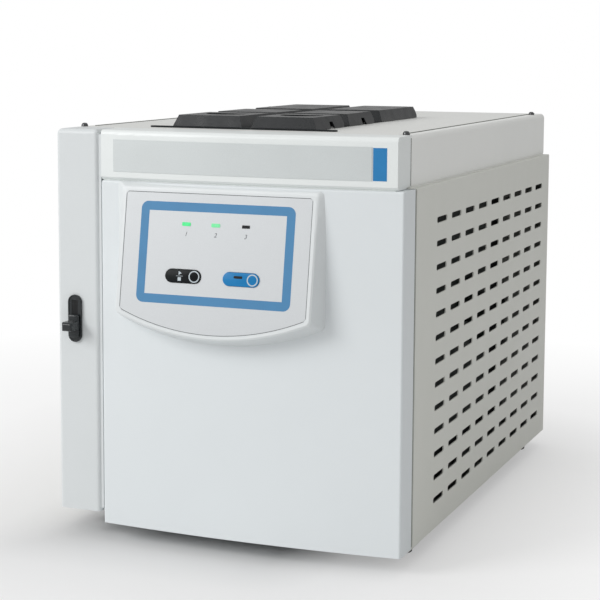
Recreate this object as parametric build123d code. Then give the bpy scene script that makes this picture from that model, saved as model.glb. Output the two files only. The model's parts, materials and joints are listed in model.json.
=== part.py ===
from build123d import *
import math
import os

# ---------------------------------------------------------------- driving dimensions, mm
# +X is the right of someone facing the front, +Y the rear, +Z up, origin on the bench below the middle.
LOWER_HALF = 220.0        # half width over the lower side panels and the oven door
UPPER_HALF = 212.0        # half width over the upper panels and the left column
FOOT_HEIGHT = 22.0        # bench to the underside of the cabinet
SPLIT_Z = 433.0           # top of the door and of the lower side panels
UPPER_Z = 435.0           # lower edge of the upper side panels
FASCIA_Z = 433.6          # lower edge of the fascia, close over the door
TOP_Z = 492.0             # top sheet
COVER_Z = 507.0           # over the module covers
SEAM_Y = -285.7           # front edge of the side panels
DOOR_BACK_Y = -286.7      # rear face of the door
FRAME_Y = -283.0          # front face of the chassis frame
REAR_Y = 348.0            # outer face of the rear panel
SIDE_REAR_Y = 346.4       # rear edge of the lower side panels
UPPER_REAR_Y = 344.0      # rear edge of the upper panels and the top sheet
SHEET = 1.5               # cabinet sheet steel

DOOR_LEFT = -153.0        # free edge of the door, and left end of the fascia
COLUMN_RIGHT = -157.0     # right side of the left column
COLUMN_BOTTOM_Z = 34.8
COLUMN_FRONT_Y = -331.0
COLUMN_WALL = 2.2
COLUMN_LIP_Y = -328.0     # front of the lip that closes most of the gap beside the door
BOW_EDGE_Y = -330.0       # front face at the door's two vertical edges
BOW_RISE = 9.0            # how far the middle stands out from the edges
BOW_MIDDLE_X = (DOOR_LEFT + LOWER_HALF) / 2
BOW_HALF_CHORD = (LOWER_HALF - DOOR_LEFT) / 2
BOW_RADIUS = (BOW_HALF_CHORD**2 + BOW_RISE**2) / (2 * BOW_RISE)
BOW_CENTRE_Y = BOW_EDGE_Y - BOW_RISE + BOW_RADIUS

DOOR_WALL = 2.0
HINGE_ROUND = 6.0         # rounding of the door's rear edge, about the hinge axis
HINGE_X = LOWER_HALF - HINGE_ROUND
HINGE_Y = DOOR_BACK_Y - HINGE_ROUND
HINGE_PIN_R = 2.0
RUNNING_GAP = 0.05        # radial clearance of every running fit

PANEL_TILT = 9.0          # the control panel leans back from its lower lip
PANEL_TOP = (2.5, -341.0, 428.0)   # middle of the panel's top edge, on its face
PANEL_HALF_WIDTH = 120.5
PANEL_SIDE_DROP = 145.0   # down the face to where the bottom arc starts
PANEL_ARC_DROP = 170.0    # down the face to the lowest point of the arc
PANEL_BASE_Y = -331.0     # upright plane behind the door's front where the bezel is widest
PANEL_RIM = 5.0           # width of the bezel's rim round the overlay
BUTTON_SIZE = (44.6, 15.6)
BUTTON_DROP = 99.6        # down the face to the buttons' middle
BUTTON_X = (-34.4, 37.4)
LAMP_X = (-34.4, 2.1, 39.3)
LAMP_DROP = 40.4
LAMP_SIZE = (8.8, 3.0)
LABEL_X = (-135.6, 183.0)
LABEL_Z = (444.0, 481.0)
LATCH_X = -188.0
LATCH_Z = (238.9, 295.7)

SLOT_COLUMNS = 9
SLOT_ROWS = 13
SLOT_FIRST = (-188.0, 390.3)       # y and z of the front top slot
SLOT_PITCH = (59.3, 27.8)
SLOT_SIZE = (40.0, 7.0)

OVEN_X = (-122.0, 128.0)  # oven chamber inside the insulation
OVEN_Z = (95.0, 375.0)
OVEN_BACK_Y = -12.0
INSULATION = 28.0
LINER = 1.0
FAN_AXIS = (3.0, 235.0)   # x and z of the oven fan
BAFFLE_Y = OVEN_BACK_Y - 46
HEATER_Y = (BAFFLE_Y + 11, BAFFLE_Y + 22)
WHEEL_Y = (OVEN_BACK_Y - 38, OVEN_BACK_Y - 12)
MOTOR_Y = OVEN_BACK_Y + INSULATION     # mounting face of the oven fan's motor
MODULE_X = (-53.5, 42.5)  # middles of the two columns of modules
INJECTOR_Y = -196.0
DETECTOR_Y = -84.0

COVER_COLUMNS = {"left": (-101.0, -9.4), "right": (0.9, 84.0)}
COVER_ROWS = {"front": (-247.0, -146.0), "mid": (-133.0, -35.0), "rear": (-12.6, 142.0)}
COVER_FLOOR_Z = TOP_Z + 0.4
COVER_WALL = 1.8
COVER_ROUND = 6.5         # rear lower rounding, about the hinge axis
COVER_TAPER = 6.0         # how far each side leans in from floor to top
COVER_SLOPE = math.atan(COVER_TAPER / (COVER_Z - COVER_FLOOR_Z))
COVER_LEAN = COVER_WALL * math.tan(COVER_SLOPE)
COVER_PIN_R = 1.5
EAR_WIDTH = 22.0          # hinge ear under the middle of a cover's rear edge
DISH_X = 27.0             # half width of the D-shaped hole over an injector
DISH_Y = (-212.0, -181.0)

SCREW_X = 203.5           # dome screws on the upper side panels' top edges
SCREW_Y = (-277.0, 300.0)
BOARD_X = 168.0           # main board, beside the oven behind the slotted panel
DUCT_X = (-90.0, -30.0)   # oven exhaust, outside of the duct
DUCT_Z = (296.0, 352.0)
DUCT_WALL = 1.2
FLAP_AXIS = (REAR_Y + 4.4, DUCT_Z[1] + 7)
FAN_HOUSING = (112.0, 190.0)       # x and z of the cooling fan
FAN_SIZE = 92.0
FAN_BORE = 43.0
FAN_FRONT_Y = REAR_Y - SHEET - 25
INLET_X = (-196.0, -166.0)         # mains inlet
INLET_Z = (50.0, 74.0)
PORT_X = (30.0, 52.0, 74.0)        # left sides of the square sockets
PORT_Z = (60.0, 74.0)
SWITCH_X = (-194.0, -168.0)        # mains rocker, above the inlet
SWITCH_Z = (86.0, 104.0)
SWITCH_AXIS = (342.0, (SWITCH_Z[0] + SWITCH_Z[1]) / 2)
GAS_X = (-185.0, -160.0, -135.0)
GAS_Z = 410.0
GAS_R = 4.0
GAS_END_Y = 367.3         # ends of the gas inlets, the rearmost points

os.makedirs("parts", exist_ok=True)


# ---------------------------------------------------------------- shared shapes
def block(x, y, z):
    """Box between pairs of limits."""
    size = [b - a for a, b in (x, y, z)]
    middle = [(a + b) / 2 for a, b in (x, y, z)]
    return Pos(*middle) * Box(*size)


def rod(axis, radius, start, end, at):
    """Cylinder along X, Y or Z from start to end; at is the other two coordinates in order."""
    length = end - start
    middle = (start + end) / 2
    if axis == "X":
        return Pos(middle, at[0], at[1]) * Rot(0, 90, 0) * Cylinder(radius, length)
    if axis == "Y":
        return Pos(at[0], middle, at[1]) * Rot(90, 0, 0) * Cylinder(radius, length)
    return Pos(at[0], at[1], middle) * Cylinder(radius, length)


def prism(radius, sides, start, end, at=(0.0, 0.0), taper=0.0):
    """Upright prism with flat sides, for turned pieces of small size."""
    outline = Pos(at[0], at[1], start) * RegularPolygon(radius, sides)
    return extrude(outline, end - start, taper=taper)


def lying_prism(radius, sides, start, end, at):
    """Prism with flat sides along Y; at is x and z."""
    outline = Plane.XZ * Pos(at[0], at[1], -start) * RegularPolygon(radius, sides)
    return extrude(outline, -(end - start))


def pill(length, width):
    """Oblong outline whose round ends are made of flats."""
    half = (length - width) / 2
    ends = [Pos(x, 0) * RegularPolygon(width / 2, 20) for x in (-half, half)]
    return ends[0] + ends[1] + Rectangle(2 * half, width)


def soften(part, axis, radius, keep=lambda edge: True):
    """Fillet the edges along an axis that keep accepts."""
    return fillet([edge for edge in part.edges().filter_by(axis) if keep(edge)], radius)


def bow_y(x, inset=0.0):
    """Front face of the door and fascia at x, inset along the radius."""
    radius = BOW_RADIUS - inset
    return BOW_CENTRE_Y - math.sqrt(radius**2 - (x - BOW_MIDDLE_X) ** 2)


def bowed_slab(x, z, back, inset=0.0):
    """Slab with the bowed front face and a flat back at y = back."""
    left, right = x
    middle = (left + right) / 2
    start = (left, bow_y(left, inset))
    end = (right, bow_y(right, inset))
    front = ThreePointArc(start, (middle, bow_y(middle, inset)), end)
    sides = Polyline(end, (right, back), (left, back), start)
    return Pos(0, 0, z[0]) * extrude(make_face(front.edges() + sides.edges()), z[1] - z[0])


def save(name, part):
    """Write one node's solids."""
    solids = part.solids()
    shape = solids[0] if len(solids) == 1 else Compound(children=list(solids))
    shape.label = name
    export_step(shape, f"parts/{name}.step")


# ---------------------------------------------------------------- cabinet
def base_pan():
    pan = block((-216, 216), (-281, 345), (FOOT_HEIGHT, 42))
    pan -= block((-216 + SHEET, 216 - SHEET), (-281 + SHEET, 345 - SHEET), (FOOT_HEIGHT + SHEET, 43))
    return pan - [Pos(30 * i, 180, FOOT_HEIGHT) * Box(5, 90, 10) for i in range(-1, 2)]


def feet():
    """Four rubber feet, narrower at the bench."""
    return Compound([prism(14, 8, 0, FOOT_HEIGHT, (x, y), -8) for x in (-188, 188) for y in (-232, 305)])


def front_frame():
    """Flat frame that the door closes on, open at the oven and behind the left column."""
    frame = block((-209.5, 209.5), (FRAME_Y, FRAME_Y + SHEET), (43, 475))
    frame -= block(OVEN_X, (FRAME_Y - 1, FRAME_Y + 3), OVEN_Z)
    return frame - block((-203, -165), (FRAME_Y - 1, FRAME_Y + 3), (60, 460))


def left_column():
    """Tall narrow cover left of the door, open at the back, with the latch's slot and window."""
    front = COLUMN_FRONT_Y
    back = SEAM_Y - 0.5
    wall = COLUMN_WALL
    shell = block((-UPPER_HALF, COLUMN_RIGHT), (front, back), (COLUMN_BOTTOM_Z, TOP_Z))
    shell = soften(shell, Axis.Z, 5, lambda edge: edge.center().Y < front + 1)
    shell = soften(shell, Axis.X, 6, lambda edge: edge.center().Y < front + 1 and edge.center().Z > 400)
    shell -= block((-UPPER_HALF + wall, COLUMN_RIGHT - wall), (front + wall + 0.6, back + 1),
                   (COLUMN_BOTTOM_Z + wall, TOP_Z - wall))
    slot = block((LATCH_X - 4.5, LATCH_X + 4.5), (front - 1, front + 8), (250, 291))
    window = block((COLUMN_RIGHT - 3, COLUMN_RIGHT + 1), (-319, -305), (254, 286))
    lip = block((COLUMN_RIGHT - 1, DOOR_LEFT - 1.1), (COLUMN_LIP_Y, COLUMN_LIP_Y + 2),
                (COLUMN_BOTTOM_Z + 4, TOP_Z - 6))
    return shell - slot - window + lip


def side_panel(sign, slotted):
    """Lower side panel with a ledge along its top and a turned-in lower edge."""
    outer = LOWER_HALF
    length = (SEAM_Y, SIDE_REAR_Y)
    panel = block((outer - SHEET, outer), length, (FOOT_HEIGHT, SPLIT_Z))
    panel += block((UPPER_HALF - 2, outer - 0.2), length, (SPLIT_Z - SHEET, SPLIT_Z))
    panel += block((216.5, outer - 0.2), length, (FOOT_HEIGHT, FOOT_HEIGHT + SHEET))
    panel = chamfer([e for e in panel.edges().filter_by(Axis.Y)
                     if e.center().X > outer - 0.1 and e.center().Z > SPLIT_Z - 1], 1)
    if slotted:
        first_y, first_z = SLOT_FIRST
        pitch_y, pitch_z = SLOT_PITCH
        slot = Box(5, *SLOT_SIZE)
        panel -= [Pos(outer, first_y + i * pitch_y, first_z - j * pitch_z) * slot
                  for i in range(SLOT_COLUMNS) for j in range(SLOT_ROWS)]
    return panel if sign > 0 else mirror(panel, Plane.YZ)


def upper_panel(sign):
    """Upper side panel whose top edge rolls over onto the top."""
    limits = (FRAME_Y - 0.8, UPPER_REAR_Y)
    panel = block((198, UPPER_HALF), limits, (UPPER_Z, TOP_Z))
    panel = soften(panel, Axis.Y, 6, lambda edge: edge.center().X > 205 and edge.center().Z > 450)
    hollow = block((190, UPPER_HALF - SHEET), (limits[0] - 1, limits[1] + 1), (UPPER_Z - 1, TOP_Z - SHEET))
    panel -= soften(hollow, Axis.Y, 4.5, lambda edge: edge.center().X > 205 and edge.center().Z > 450)
    return panel if sign > 0 else mirror(panel, Plane.YZ)


def top_cover():
    """Top sheet with turned-down sides and a square hole for each module."""
    half = 197.3
    cover = block((-half, half), (FRAME_Y - 0.8, UPPER_REAR_Y), (TOP_Z - SHEET, TOP_Z))
    for x in ((-half, -half + SHEET), (half - SHEET, half)):
        cover += block(x, (FRAME_Y - 0.8, UPPER_REAR_Y), (476, TOP_Z - SHEET))
    return cover - [block((x - 27, x + 27), (y - 27, y + 27), (480, 500))
                    for x in MODULE_X for y in (INJECTOR_Y, DETECTOR_Y)]


def fascia():
    """Bowed shell over the door, rolled at the top and tucked back at the bottom."""
    back = FRAME_Y - 1.5
    shell = bowed_slab((DOOR_LEFT, UPPER_HALF), (FASCIA_Z, TOP_Z), back)
    front = [e for e in shell.edges() if e.center().Y < -325]
    shell = fillet([e for e in front if e.center().Z > TOP_Z - 0.1], 6)
    shell = chamfer([e for e in shell.edges() if e.center().Y < -325 and e.center().Z < FASCIA_Z + 0.1], 3.5)
    shell -= bowed_slab((DOOR_LEFT + 2.5, UPPER_HALF - 2.5), (FASCIA_Z - 1, TOP_Z - 2.5), back + 1, 8.0)
    return shell - block((190, UPPER_HALF + 1), (-300, back + 1), (FASCIA_Z - 1, UPPER_Z))


def label_plate():
    """Thin plate that follows the fascia's bow."""
    behind = bowed_slab((DOOR_LEFT, UPPER_HALF), (UPPER_Z, TOP_Z), -290)
    return bowed_slab(LABEL_X, LABEL_Z, -300, -0.8) - behind


def rear_panel():
    thick = (REAR_Y - SHEET, REAR_Y)
    panel = block((-216, 216), thick, (24, SPLIT_Z - 2)) + block((-208, 208), thick, (SPLIT_Z - 2, 488))
    through = (340, 352)
    panel -= lying_prism(FAN_BORE, 20, *through, FAN_HOUSING)
    for x, z in ((DUCT_X, DUCT_Z), (INLET_X, INLET_Z), (SWITCH_X, SWITCH_Z)):
        panel -= block(x, through, z)
    panel -= [Pos(-104 + 30 * i, REAR_Y, 200) * Box(6, 20, 60) for i in range(4)]
    return panel - [block((x, x + 16), through, PORT_Z) for x in PORT_X]


def electronics_partition():
    return block((160, 161.5), (-280, 300), (43, 488))


def front_strip():
    """Low ridge in front of the module covers."""
    strip = block((-126.5, 112), (-256, -248.5), (TOP_Z, TOP_Z + 2))
    return chamfer(strip.edges().filter_by(Axis.Z), 2)


def top_screws():
    """Four dome-headed screws."""
    return Compound([prism(4.4, 8, TOP_Z, TOP_Z + 2.8, (x, y), 35)
                     for x in (-SCREW_X, SCREW_X) for y in SCREW_Y])


# ---------------------------------------------------------------- oven
def oven_penetrations():
    """Holes through the oven's walls for the shaft, the exhaust and the modules."""
    through = (OVEN_BACK_Y - 3, MOTOR_Y + 1)
    x, z = FAN_AXIS
    holes = [block((x - 8, x + 8), through, (z - 8, z + 8)), block(DUCT_X, through, DUCT_Z)]
    return holes + [block((x - 8.5, x + 8.5), (y - 8.5, y + 8.5), (370, 410))
                    for x in MODULE_X for y in (INJECTOR_Y, DETECTOR_Y)]


def oven_insulation():
    """Five thick walls of ceramic fibre round the chamber."""
    outer = block((OVEN_X[0] - INSULATION, OVEN_X[1] + INSULATION), (FRAME_Y + SHEET, MOTOR_Y),
                  (OVEN_Z[0] - INSULATION, OVEN_Z[1] + INSULATION))
    return outer - block(OVEN_X, (FRAME_Y, OVEN_BACK_Y), OVEN_Z) - oven_penetrations()


def oven_liner():
    """Stainless skin on the inside of the insulation."""
    shell = block(OVEN_X, (FRAME_Y + SHEET, OVEN_BACK_Y), OVEN_Z)
    shell -= block((OVEN_X[0] + LINER, OVEN_X[1] - LINER), (FRAME_Y, OVEN_BACK_Y - LINER),
                   (OVEN_Z[0] + LINER, OVEN_Z[1] - LINER))
    return shell - oven_penetrations()


def oven_baffle():
    """Grille in front of the fan, on four legs, with four clips that carry the heater rings."""
    plate = block((OVEN_X[0] + 6, OVEN_X[1] - 6), (BAFFLE_Y, BAFFLE_Y + 1), (OVEN_Z[0] + 6, OVEN_Z[1] - 6))
    centre = Pos(FAN_AXIS[0], BAFFLE_Y, FAN_AXIS[1])
    for ring, count in ((26, 4), (62, 8)):
        plate -= [centre * Rot(0, 360 * i / count, 0) * Pos(ring, 0, 0) * Box(34, 5, 8) for i in range(count)]
    legs = [block((x, x + 6), (BAFFLE_Y + 1, OVEN_BACK_Y - LINER), (z, z + 6))
            for x in (OVEN_X[0] + 8, OVEN_X[1] - 14) for z in (OVEN_Z[0] + 8, OVEN_Z[1] - 14)]
    clip = block((90, 104), (0.5, 30), (-3, 3))
    clip -= [block((93.6, 105), (y - BAFFLE_Y - 2, y - BAFFLE_Y + 2), (-4, 4)) for y in HEATER_Y]
    return plate + legs + [centre * Rot(0, 45 + 90 * i, 0) * clip for i in range(4)]


def heater_ring(y):
    return lying_prism(101, 12, y - 2, y + 2, FAN_AXIS) - lying_prism(97, 12, y - 3, y + 3, FAN_AXIS)


def heater_rings():
    return Compound([heater_ring(y) for y in HEATER_Y])


def oven_fan():
    """Radial wheel with a back disc, on its motor shaft."""
    front, back = WHEEL_Y
    wheel = lying_prism(16, 8, front, back, FAN_AXIS) + lying_prism(78, 16, back - 2, back, FAN_AXIS)
    centre = Pos(FAN_AXIS[0], 0, FAN_AXIS[1])
    blade = block((14, 75), (front + 2, back - 1), (-1, 1))
    wheel += [centre * Rot(0, 60 * i, 0) * blade for i in range(6)]
    return wheel + rod("Y", 4, back - 1, MOTOR_Y + 62, FAN_AXIS)


def oven_motor():
    """Motor on a square flange behind the oven, with the shaft's bore."""
    face = MOTOR_Y
    motor = lying_prism(38, 12, face + 3, face + 76, FAN_AXIS)
    flange = block((-60, 66), (face, face + 4), (172, 292))
    motor += chamfer(flange.edges().filter_by(Axis.Y), 12)
    return motor - rod("Y", 4 + RUNNING_GAP, face - 2, face + 64, FAN_AXIS)


def column_hanger():
    """Bar on the baffle with two upturned hooks for the column's cage."""
    bar = block((-60, 66), (BAFFLE_Y - 4, BAFFLE_Y), (352, 356))
    hooks = [block((x, x + 4), (BAFFLE_Y - 34, BAFFLE_Y - 4), (352, 356))
             + block((x, x + 4), (BAFFLE_Y - 36, BAFFLE_Y - 32), (352, 364)) for x in (-50, 50)]
    return bar + hooks


# ---------------------------------------------------------------- modules under the covers
def injectors():
    """Two inlets: capillary nut in the oven, flange, heated body and septum cap."""
    body = prism(5, 6, 362, 370) + prism(8, 6, 370, 403) + prism(30, 6, 403, 407)
    body += prism(22, 8, 407, 470) + prism(22, 8, 470, 480, taper=40) + prism(12, 8, 480, 499)
    return Compound([Pos(x, INJECTOR_Y, 0) * body for x in MODULE_X])


def detectors():
    """Two detectors: capillary nut in the oven, base, square head and open chimney."""
    body = prism(4, 6, 364, 371) + prism(8, 6, 371, 403) + prism(28, 6, 403, 440)
    body += block((-22, 22), (-20, 20), (440, 484)) + prism(9, 8, 484, 500) - prism(6, 6, 488, 501)
    return Compound([Pos(x, DETECTOR_Y, 0) * body for x in MODULE_X])


def electrometers():
    """Two ribbed amplifier boxes under the rear covers."""
    boxes = []
    for x in MODULE_X:
        ribs = [block((x - 36.5, x + 36.5), (y, y + 2), (430, 480)) for y in (30, 94)]
        boxes.append(block((x - 35.5, x + 35.5), (0, 128), (425, 486)) + ribs)
    return Compound(boxes)


def cover_axis(row):
    """y and z of a module cover's hinge axis, at the same distance from its rear face and its floor."""
    offset = COVER_ROUND * (1 + math.sin(COVER_SLOPE)) / math.cos(COVER_SLOPE)
    return COVER_ROWS[row][1] - offset, COVER_FLOOR_Z + COVER_ROUND


def tapered(x, y, z, inset=0.0):
    """Block whose sides lean in at the covers' slope."""
    base = Rectangle(x[1] - x[0] - 2 * inset, y[1] - y[0] - 2 * inset)
    return extrude(Pos(sum(x) / 2, sum(y) / 2, z[0]) * base, z[1] - z[0], taper=math.degrees(COVER_SLOPE))


def rear_rounding(x, back, axis, radius):
    """What rounding a cover's lower rear edge about its hinge axis takes away, in flats."""
    top = axis[1] + radius * math.sin(COVER_SLOPE)
    corner = block((x[0] - 1, x[1] + 1), (axis[0], back + 1), (COVER_FLOOR_Z - 1, top))
    outline = Plane.YZ * Pos(axis[0], axis[1], x[0] - 2) * Rot(0, 0, 90) * RegularPolygon(radius, 16)
    return corner - extrude(outline, x[1] - x[0] + 4)


def dish_hole(x):
    """D-shaped hole over an injector, curved towards the front."""
    middle = sum(x) / 2
    left, right = (middle - DISH_X, DISH_Y[1]), (middle + DISH_X, DISH_Y[1])
    arc = ThreePointArc(left, (middle, DISH_Y[0]), right)
    return Pos(0, 0, 500) * extrude(make_face(arc.edges() + Line(right, left).edges()), 10)


def finger_notch(outer, y):
    """Tapered notch in the foot of a cover's outer side."""
    middle = sum(y) / 2 + 7
    low, high = COVER_FLOOR_Z - 2, COVER_FLOOR_Z + 8
    corners = [(middle - 9, low), (middle + 7, low), (middle + 4, high), (middle - 6, high)]
    outline = make_face(Polyline(*corners, close=True))
    return Plane.YZ * Pos(0, 0, outer) * extrude(outline, 12, both=True)


def ear_span(x):
    """Left and right of the hinge ear under a cover."""
    middle = sum(x) / 2
    return middle - EAR_WIDTH / 2, middle + EAR_WIDTH / 2


def module_cover(column, row):
    """Tapered lid, open below, that turns on a rod inside its rear edge."""
    x, y = COVER_COLUMNS[column], COVER_ROWS[row]
    axis = cover_axis(row)
    inset = COVER_WALL + COVER_LEAN
    inner_x = (x[0] + inset, x[1] - inset)
    shell = tapered(x, y, (COVER_FLOOR_Z, COVER_Z)) - rear_rounding(x, y[1], axis, COVER_ROUND)
    hollow = tapered(x, y, (COVER_FLOOR_Z + COVER_WALL, COVER_Z - COVER_WALL), inset)
    hollow -= rear_rounding(x, y[1], axis, COVER_ROUND - COVER_WALL)
    hollow += block(inner_x, (y[0] + inset, axis[0]), (COVER_FLOOR_Z - 1, COVER_FLOOR_Z + 3))
    shell -= hollow
    if row == "front":
        shell -= dish_hole(x)
    if row != "rear":
        shell -= finger_notch(x[0] if column == "left" else x[1], y)
    ear_left, ear_right = ear_span(x)
    ear_x = (ear_left - 0.5, ear_right + 0.5)
    shell -= block(ear_x, (axis[0] - 5, y[1] + 1), (COVER_FLOOR_Z - 1, axis[1] + 5.2))
    wall = COVER_ROUND * math.tan(COVER_SLOPE) + COVER_WALL - 0.4
    return shell + rod("X", COVER_PIN_R, x[0] + wall, x[1] - wall, axis)


def cover_ears():
    """One ear under each cover, slotted from above so that the cover's rod snaps in."""
    ears = []
    bore = COVER_PIN_R + RUNNING_GAP
    for x in COVER_COLUMNS.values():
        for row in COVER_ROWS:
            axis_y, axis_z = cover_axis(row)
            ear = block(ear_span(x), (axis_y - 3.4, axis_y + 3.4), (TOP_Z, axis_z + 2.4))
            ear -= rod("X", bore, x[0], x[1], (axis_y, axis_z))
            ears.append(ear - block(x, (axis_y - bore, axis_y + bore), (axis_z, axis_z + 4)))
    return Compound(ears)


# ---------------------------------------------------------------- oven door
def door_skin():
    """Bowed outer shell of the door, open at the back, rounded about its hinge axis."""
    shell = bowed_slab((DOOR_LEFT, LOWER_HALF), (FOOT_HEIGHT, SPLIT_Z), DOOR_BACK_Y)
    shell = soften(shell, Axis.Z, HINGE_ROUND, lambda e: e.center().X > 200 and e.center().Y > -300)
    shell = soften(shell, Axis.Z, 3.0, lambda e: e.center().Y < -320)
    wall = DOOR_WALL
    heights = (FOOT_HEIGHT + wall, SPLIT_Z - wall)
    hollow = bowed_slab((DOOR_LEFT + wall, LOWER_HALF - wall), heights, HINGE_Y, wall)
    hollow += block((DOOR_LEFT + wall, HINGE_X), (HINGE_Y - 1, DOOR_BACK_Y + 1), heights)
    hollow += rod("Z", HINGE_ROUND - wall, *heights, (HINGE_X, HINGE_Y))
    return shell - hollow - prism(HINGE_PIN_R + 0.6, 8, 0, 500, (HINGE_X, HINGE_Y))


def door_inner_panel():
    panel = block((DOOR_LEFT + 2.2, 209.4), (-288.5, -287.0), (24.2, 430.8))
    return panel - block((-108, 114), (-290, -285), (109, 361))


def door_insulation():
    return block((-140, 185), (-325, -289), (40, 418))


def door_plug():
    """Tapered pan on the door that closes the oven's mouth."""
    plug = extrude(Plane.XZ * Pos(3, 235, 287.0) * Rectangle(236, 266), -25, taper=6)
    return plug - extrude(Plane.XZ * Pos(3, 235, 288.0) * Rectangle(224, 254), -24, taper=6)


def door_gasket():
    limits = (-287, -283.5)
    ring = block((OVEN_X[0] - 16, OVEN_X[1] + 16), limits, (OVEN_Z[0] - 16, OVEN_Z[1] + 16))
    ring = chamfer(ring.edges().filter_by(Axis.Y), 8)
    return ring - block((OVEN_X[0] - 8, OVEN_X[1] + 8), (-289, -282), (OVEN_Z[0] - 8, OVEN_Z[1] + 8))


def hinge_blocks():
    """Two bearing blocks inside the door's hinged edge."""
    pair = []
    for low, high in ((24.2, 54.0), (401.0, 430.8)):
        piece = block((188, HINGE_X + 3.6), (HINGE_Y - 3.9, -288.9), (low, high))
        piece = chamfer([e for e in piece.edges().filter_by(Axis.Z) if e.center().X > HINGE_X], 2.7)
        pair.append(piece - rod("Z", HINGE_PIN_R + RUNNING_GAP, low - 1, high + 1, (HINGE_X, HINGE_Y)))
    return Compound(pair)


def hinge_pins():
    return Compound([rod("Z", HINGE_PIN_R, 21.6, 52, (HINGE_X, HINGE_Y)),
                     rod("Z", HINGE_PIN_R, 403, 433.4, (HINGE_X, HINGE_Y))])


def hinge_brackets():
    """Plate over the door's top corner and plate under its bottom corner, both on the chassis."""
    top = block((198, 219), (HINGE_Y - 4.5, FRAME_Y), (433.4, 434.7))
    top = chamfer([e for e in top.edges().filter_by(Axis.Z) if e.center().X > 215], 3)
    top += block((198, 209), (FRAME_Y - 1.4, FRAME_Y), (433.4, 452))
    low = block((198, 218), (HINGE_Y - 4.5, -254), (19.4, 21.6))
    low += block((198, 216), (-281, -254), (21, FOOT_HEIGHT))
    return Compound([top, low])


def striker_plate():
    plate = block((DOOR_LEFT - 0.7, DOOR_LEFT), (-322, -298), (238, 296))
    return chamfer(plate.edges().filter_by(Axis.X), 4)


# ---------------------------------------------------------------- control panel on the door
def face_plane(drop, depth=0.0, x=0.0):
    """Plane on the control panel's face, drop mm down it and depth mm behind it, facing out."""
    tilt = math.radians(PANEL_TILT)
    down = (0.0, -math.sin(tilt), -math.cos(tilt))
    out = (0.0, -math.cos(tilt), math.sin(tilt))
    origin = [PANEL_TOP[i] + drop * down[i] - depth * out[i] for i in range(3)]
    return Plane(origin=(origin[0] + x, origin[1], origin[2]), x_dir=(1, 0, 0), z_dir=out)


def shield(top, half_top, side, half_side, lowest, corner):
    """Outline with a round lower edge and cut corners, y up."""
    arc = ThreePointArc((-half_side, side), (0, lowest), (half_side, side))
    rest = Polyline((half_side, side), (half_top, top), (-half_top, top), (-half_side, side))
    return chamfer(make_face(arc.edges() + rest.edges()).vertices(), corner)


def panel_outline(inset=0.0, corner=3.0):
    """Outline of the panel's face, origin at the middle of its top edge."""
    half = PANEL_HALF_WIDTH - inset
    return shield(-inset, half, inset * 0.8 - PANEL_SIDE_DROP, half, inset - PANEL_ARC_DROP, corner)


def on_face(drop, depth, x, outline, thickness):
    """Outline extruded outwards from depth mm behind the panel's face, centred at x."""
    return extrude(face_plane(drop, depth, x - PANEL_TOP[0]) * outline, thickness)


def panel_bezel():
    """Flared moulding on the door, cut to its bow, with a window behind the overlay."""
    face = face_plane(0)
    base = Plane(origin=(PANEL_TOP[0], PANEL_BASE_Y, PANEL_TOP[2]), x_dir=(1, 0, 0), z_dir=(0, -1, 0))
    shell = loft([face * panel_outline(), base * shield(6, 133, -154, 129.7, -181.5, 3)], ruled=True)
    rim = [e for e in shell.edges() if abs(face.to_local_coords(e.center()).Z) < 0.05]
    shell = chamfer(rim, 1.6)
    shell -= bowed_slab((-160, 219), (200, 440), -250)
    shell -= block((-160, 219), (-380, -300), (SPLIT_Z - 0.3, 450))
    shell -= on_face(0, 0.9, PANEL_TOP[0], panel_outline(PANEL_RIM), 4)
    return shell - extrude(face_plane(76, 12) * Rectangle(180, 100), 14)


def panel_overlay():
    sheet = on_face(0, 0.9, PANEL_TOP[0], panel_outline(PANEL_RIM + 0.3), 0.7)
    for x in BUTTON_X:
        sheet -= on_face(BUTTON_DROP, 2, x, pill(BUTTON_SIZE[0] + 0.6, BUTTON_SIZE[1] + 0.6), 4)
    for x in LAMP_X:
        sheet -= on_face(LAMP_DROP, 2, x, Rectangle(LAMP_SIZE[0] + 0.6, LAMP_SIZE[1] + 0.6), 4)
    return sheet


def lamps():
    return Compound([on_face(LAMP_DROP, 3, x, Rectangle(*LAMP_SIZE), 3.1) for x in LAMP_X])


def pill_button(x):
    return on_face(BUTTON_DROP, 2.6, x, pill(*BUTTON_SIZE), 3.8)


# ---------------------------------------------------------------- latch on the left column
def latch_housing():
    """Oblong escutcheon with its guide box behind the column's front."""
    middle = sum(LATCH_Z) / 2
    plate = Plane.XZ * Pos(LATCH_X, middle, -COLUMN_FRONT_Y)
    body = extrude(plate * Rot(0, 0, 90) * pill(LATCH_Z[1] - LATCH_Z[0], 17.7), 2.4)
    body += block((LATCH_X - 4.5, LATCH_X + 4.5), (COLUMN_FRONT_Y - 0.1, -326), (250, 291))
    body += block((-208, -169), (COLUMN_FRONT_Y + COLUMN_WALL + 0.6, -310), (244, 297))
    body -= block((LATCH_X - 4, LATCH_X + 4), (-340, -318), (252, 289))
    return body - block((-206, -160), (-318.4, -313.6), (251, 289))


def latch_lever():
    """Thumb tab, its stem and the bolt behind it, one casting that slides up."""
    tab = block((LATCH_X - 7, LATCH_X + 7), (-354, -334), (254.5, 265))
    tab = chamfer([e for e in tab.edges() if e.center().Y < -353], 2)
    lever = tab + block((LATCH_X - 3.6, LATCH_X + 3.6), (-335, -316), (254.5, 265))
    lever += block((-205, -163), (-318, -314), (252.4, 268))
    return lever + block((-163, -157.8), (-318, -306), (255, 265))


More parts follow.
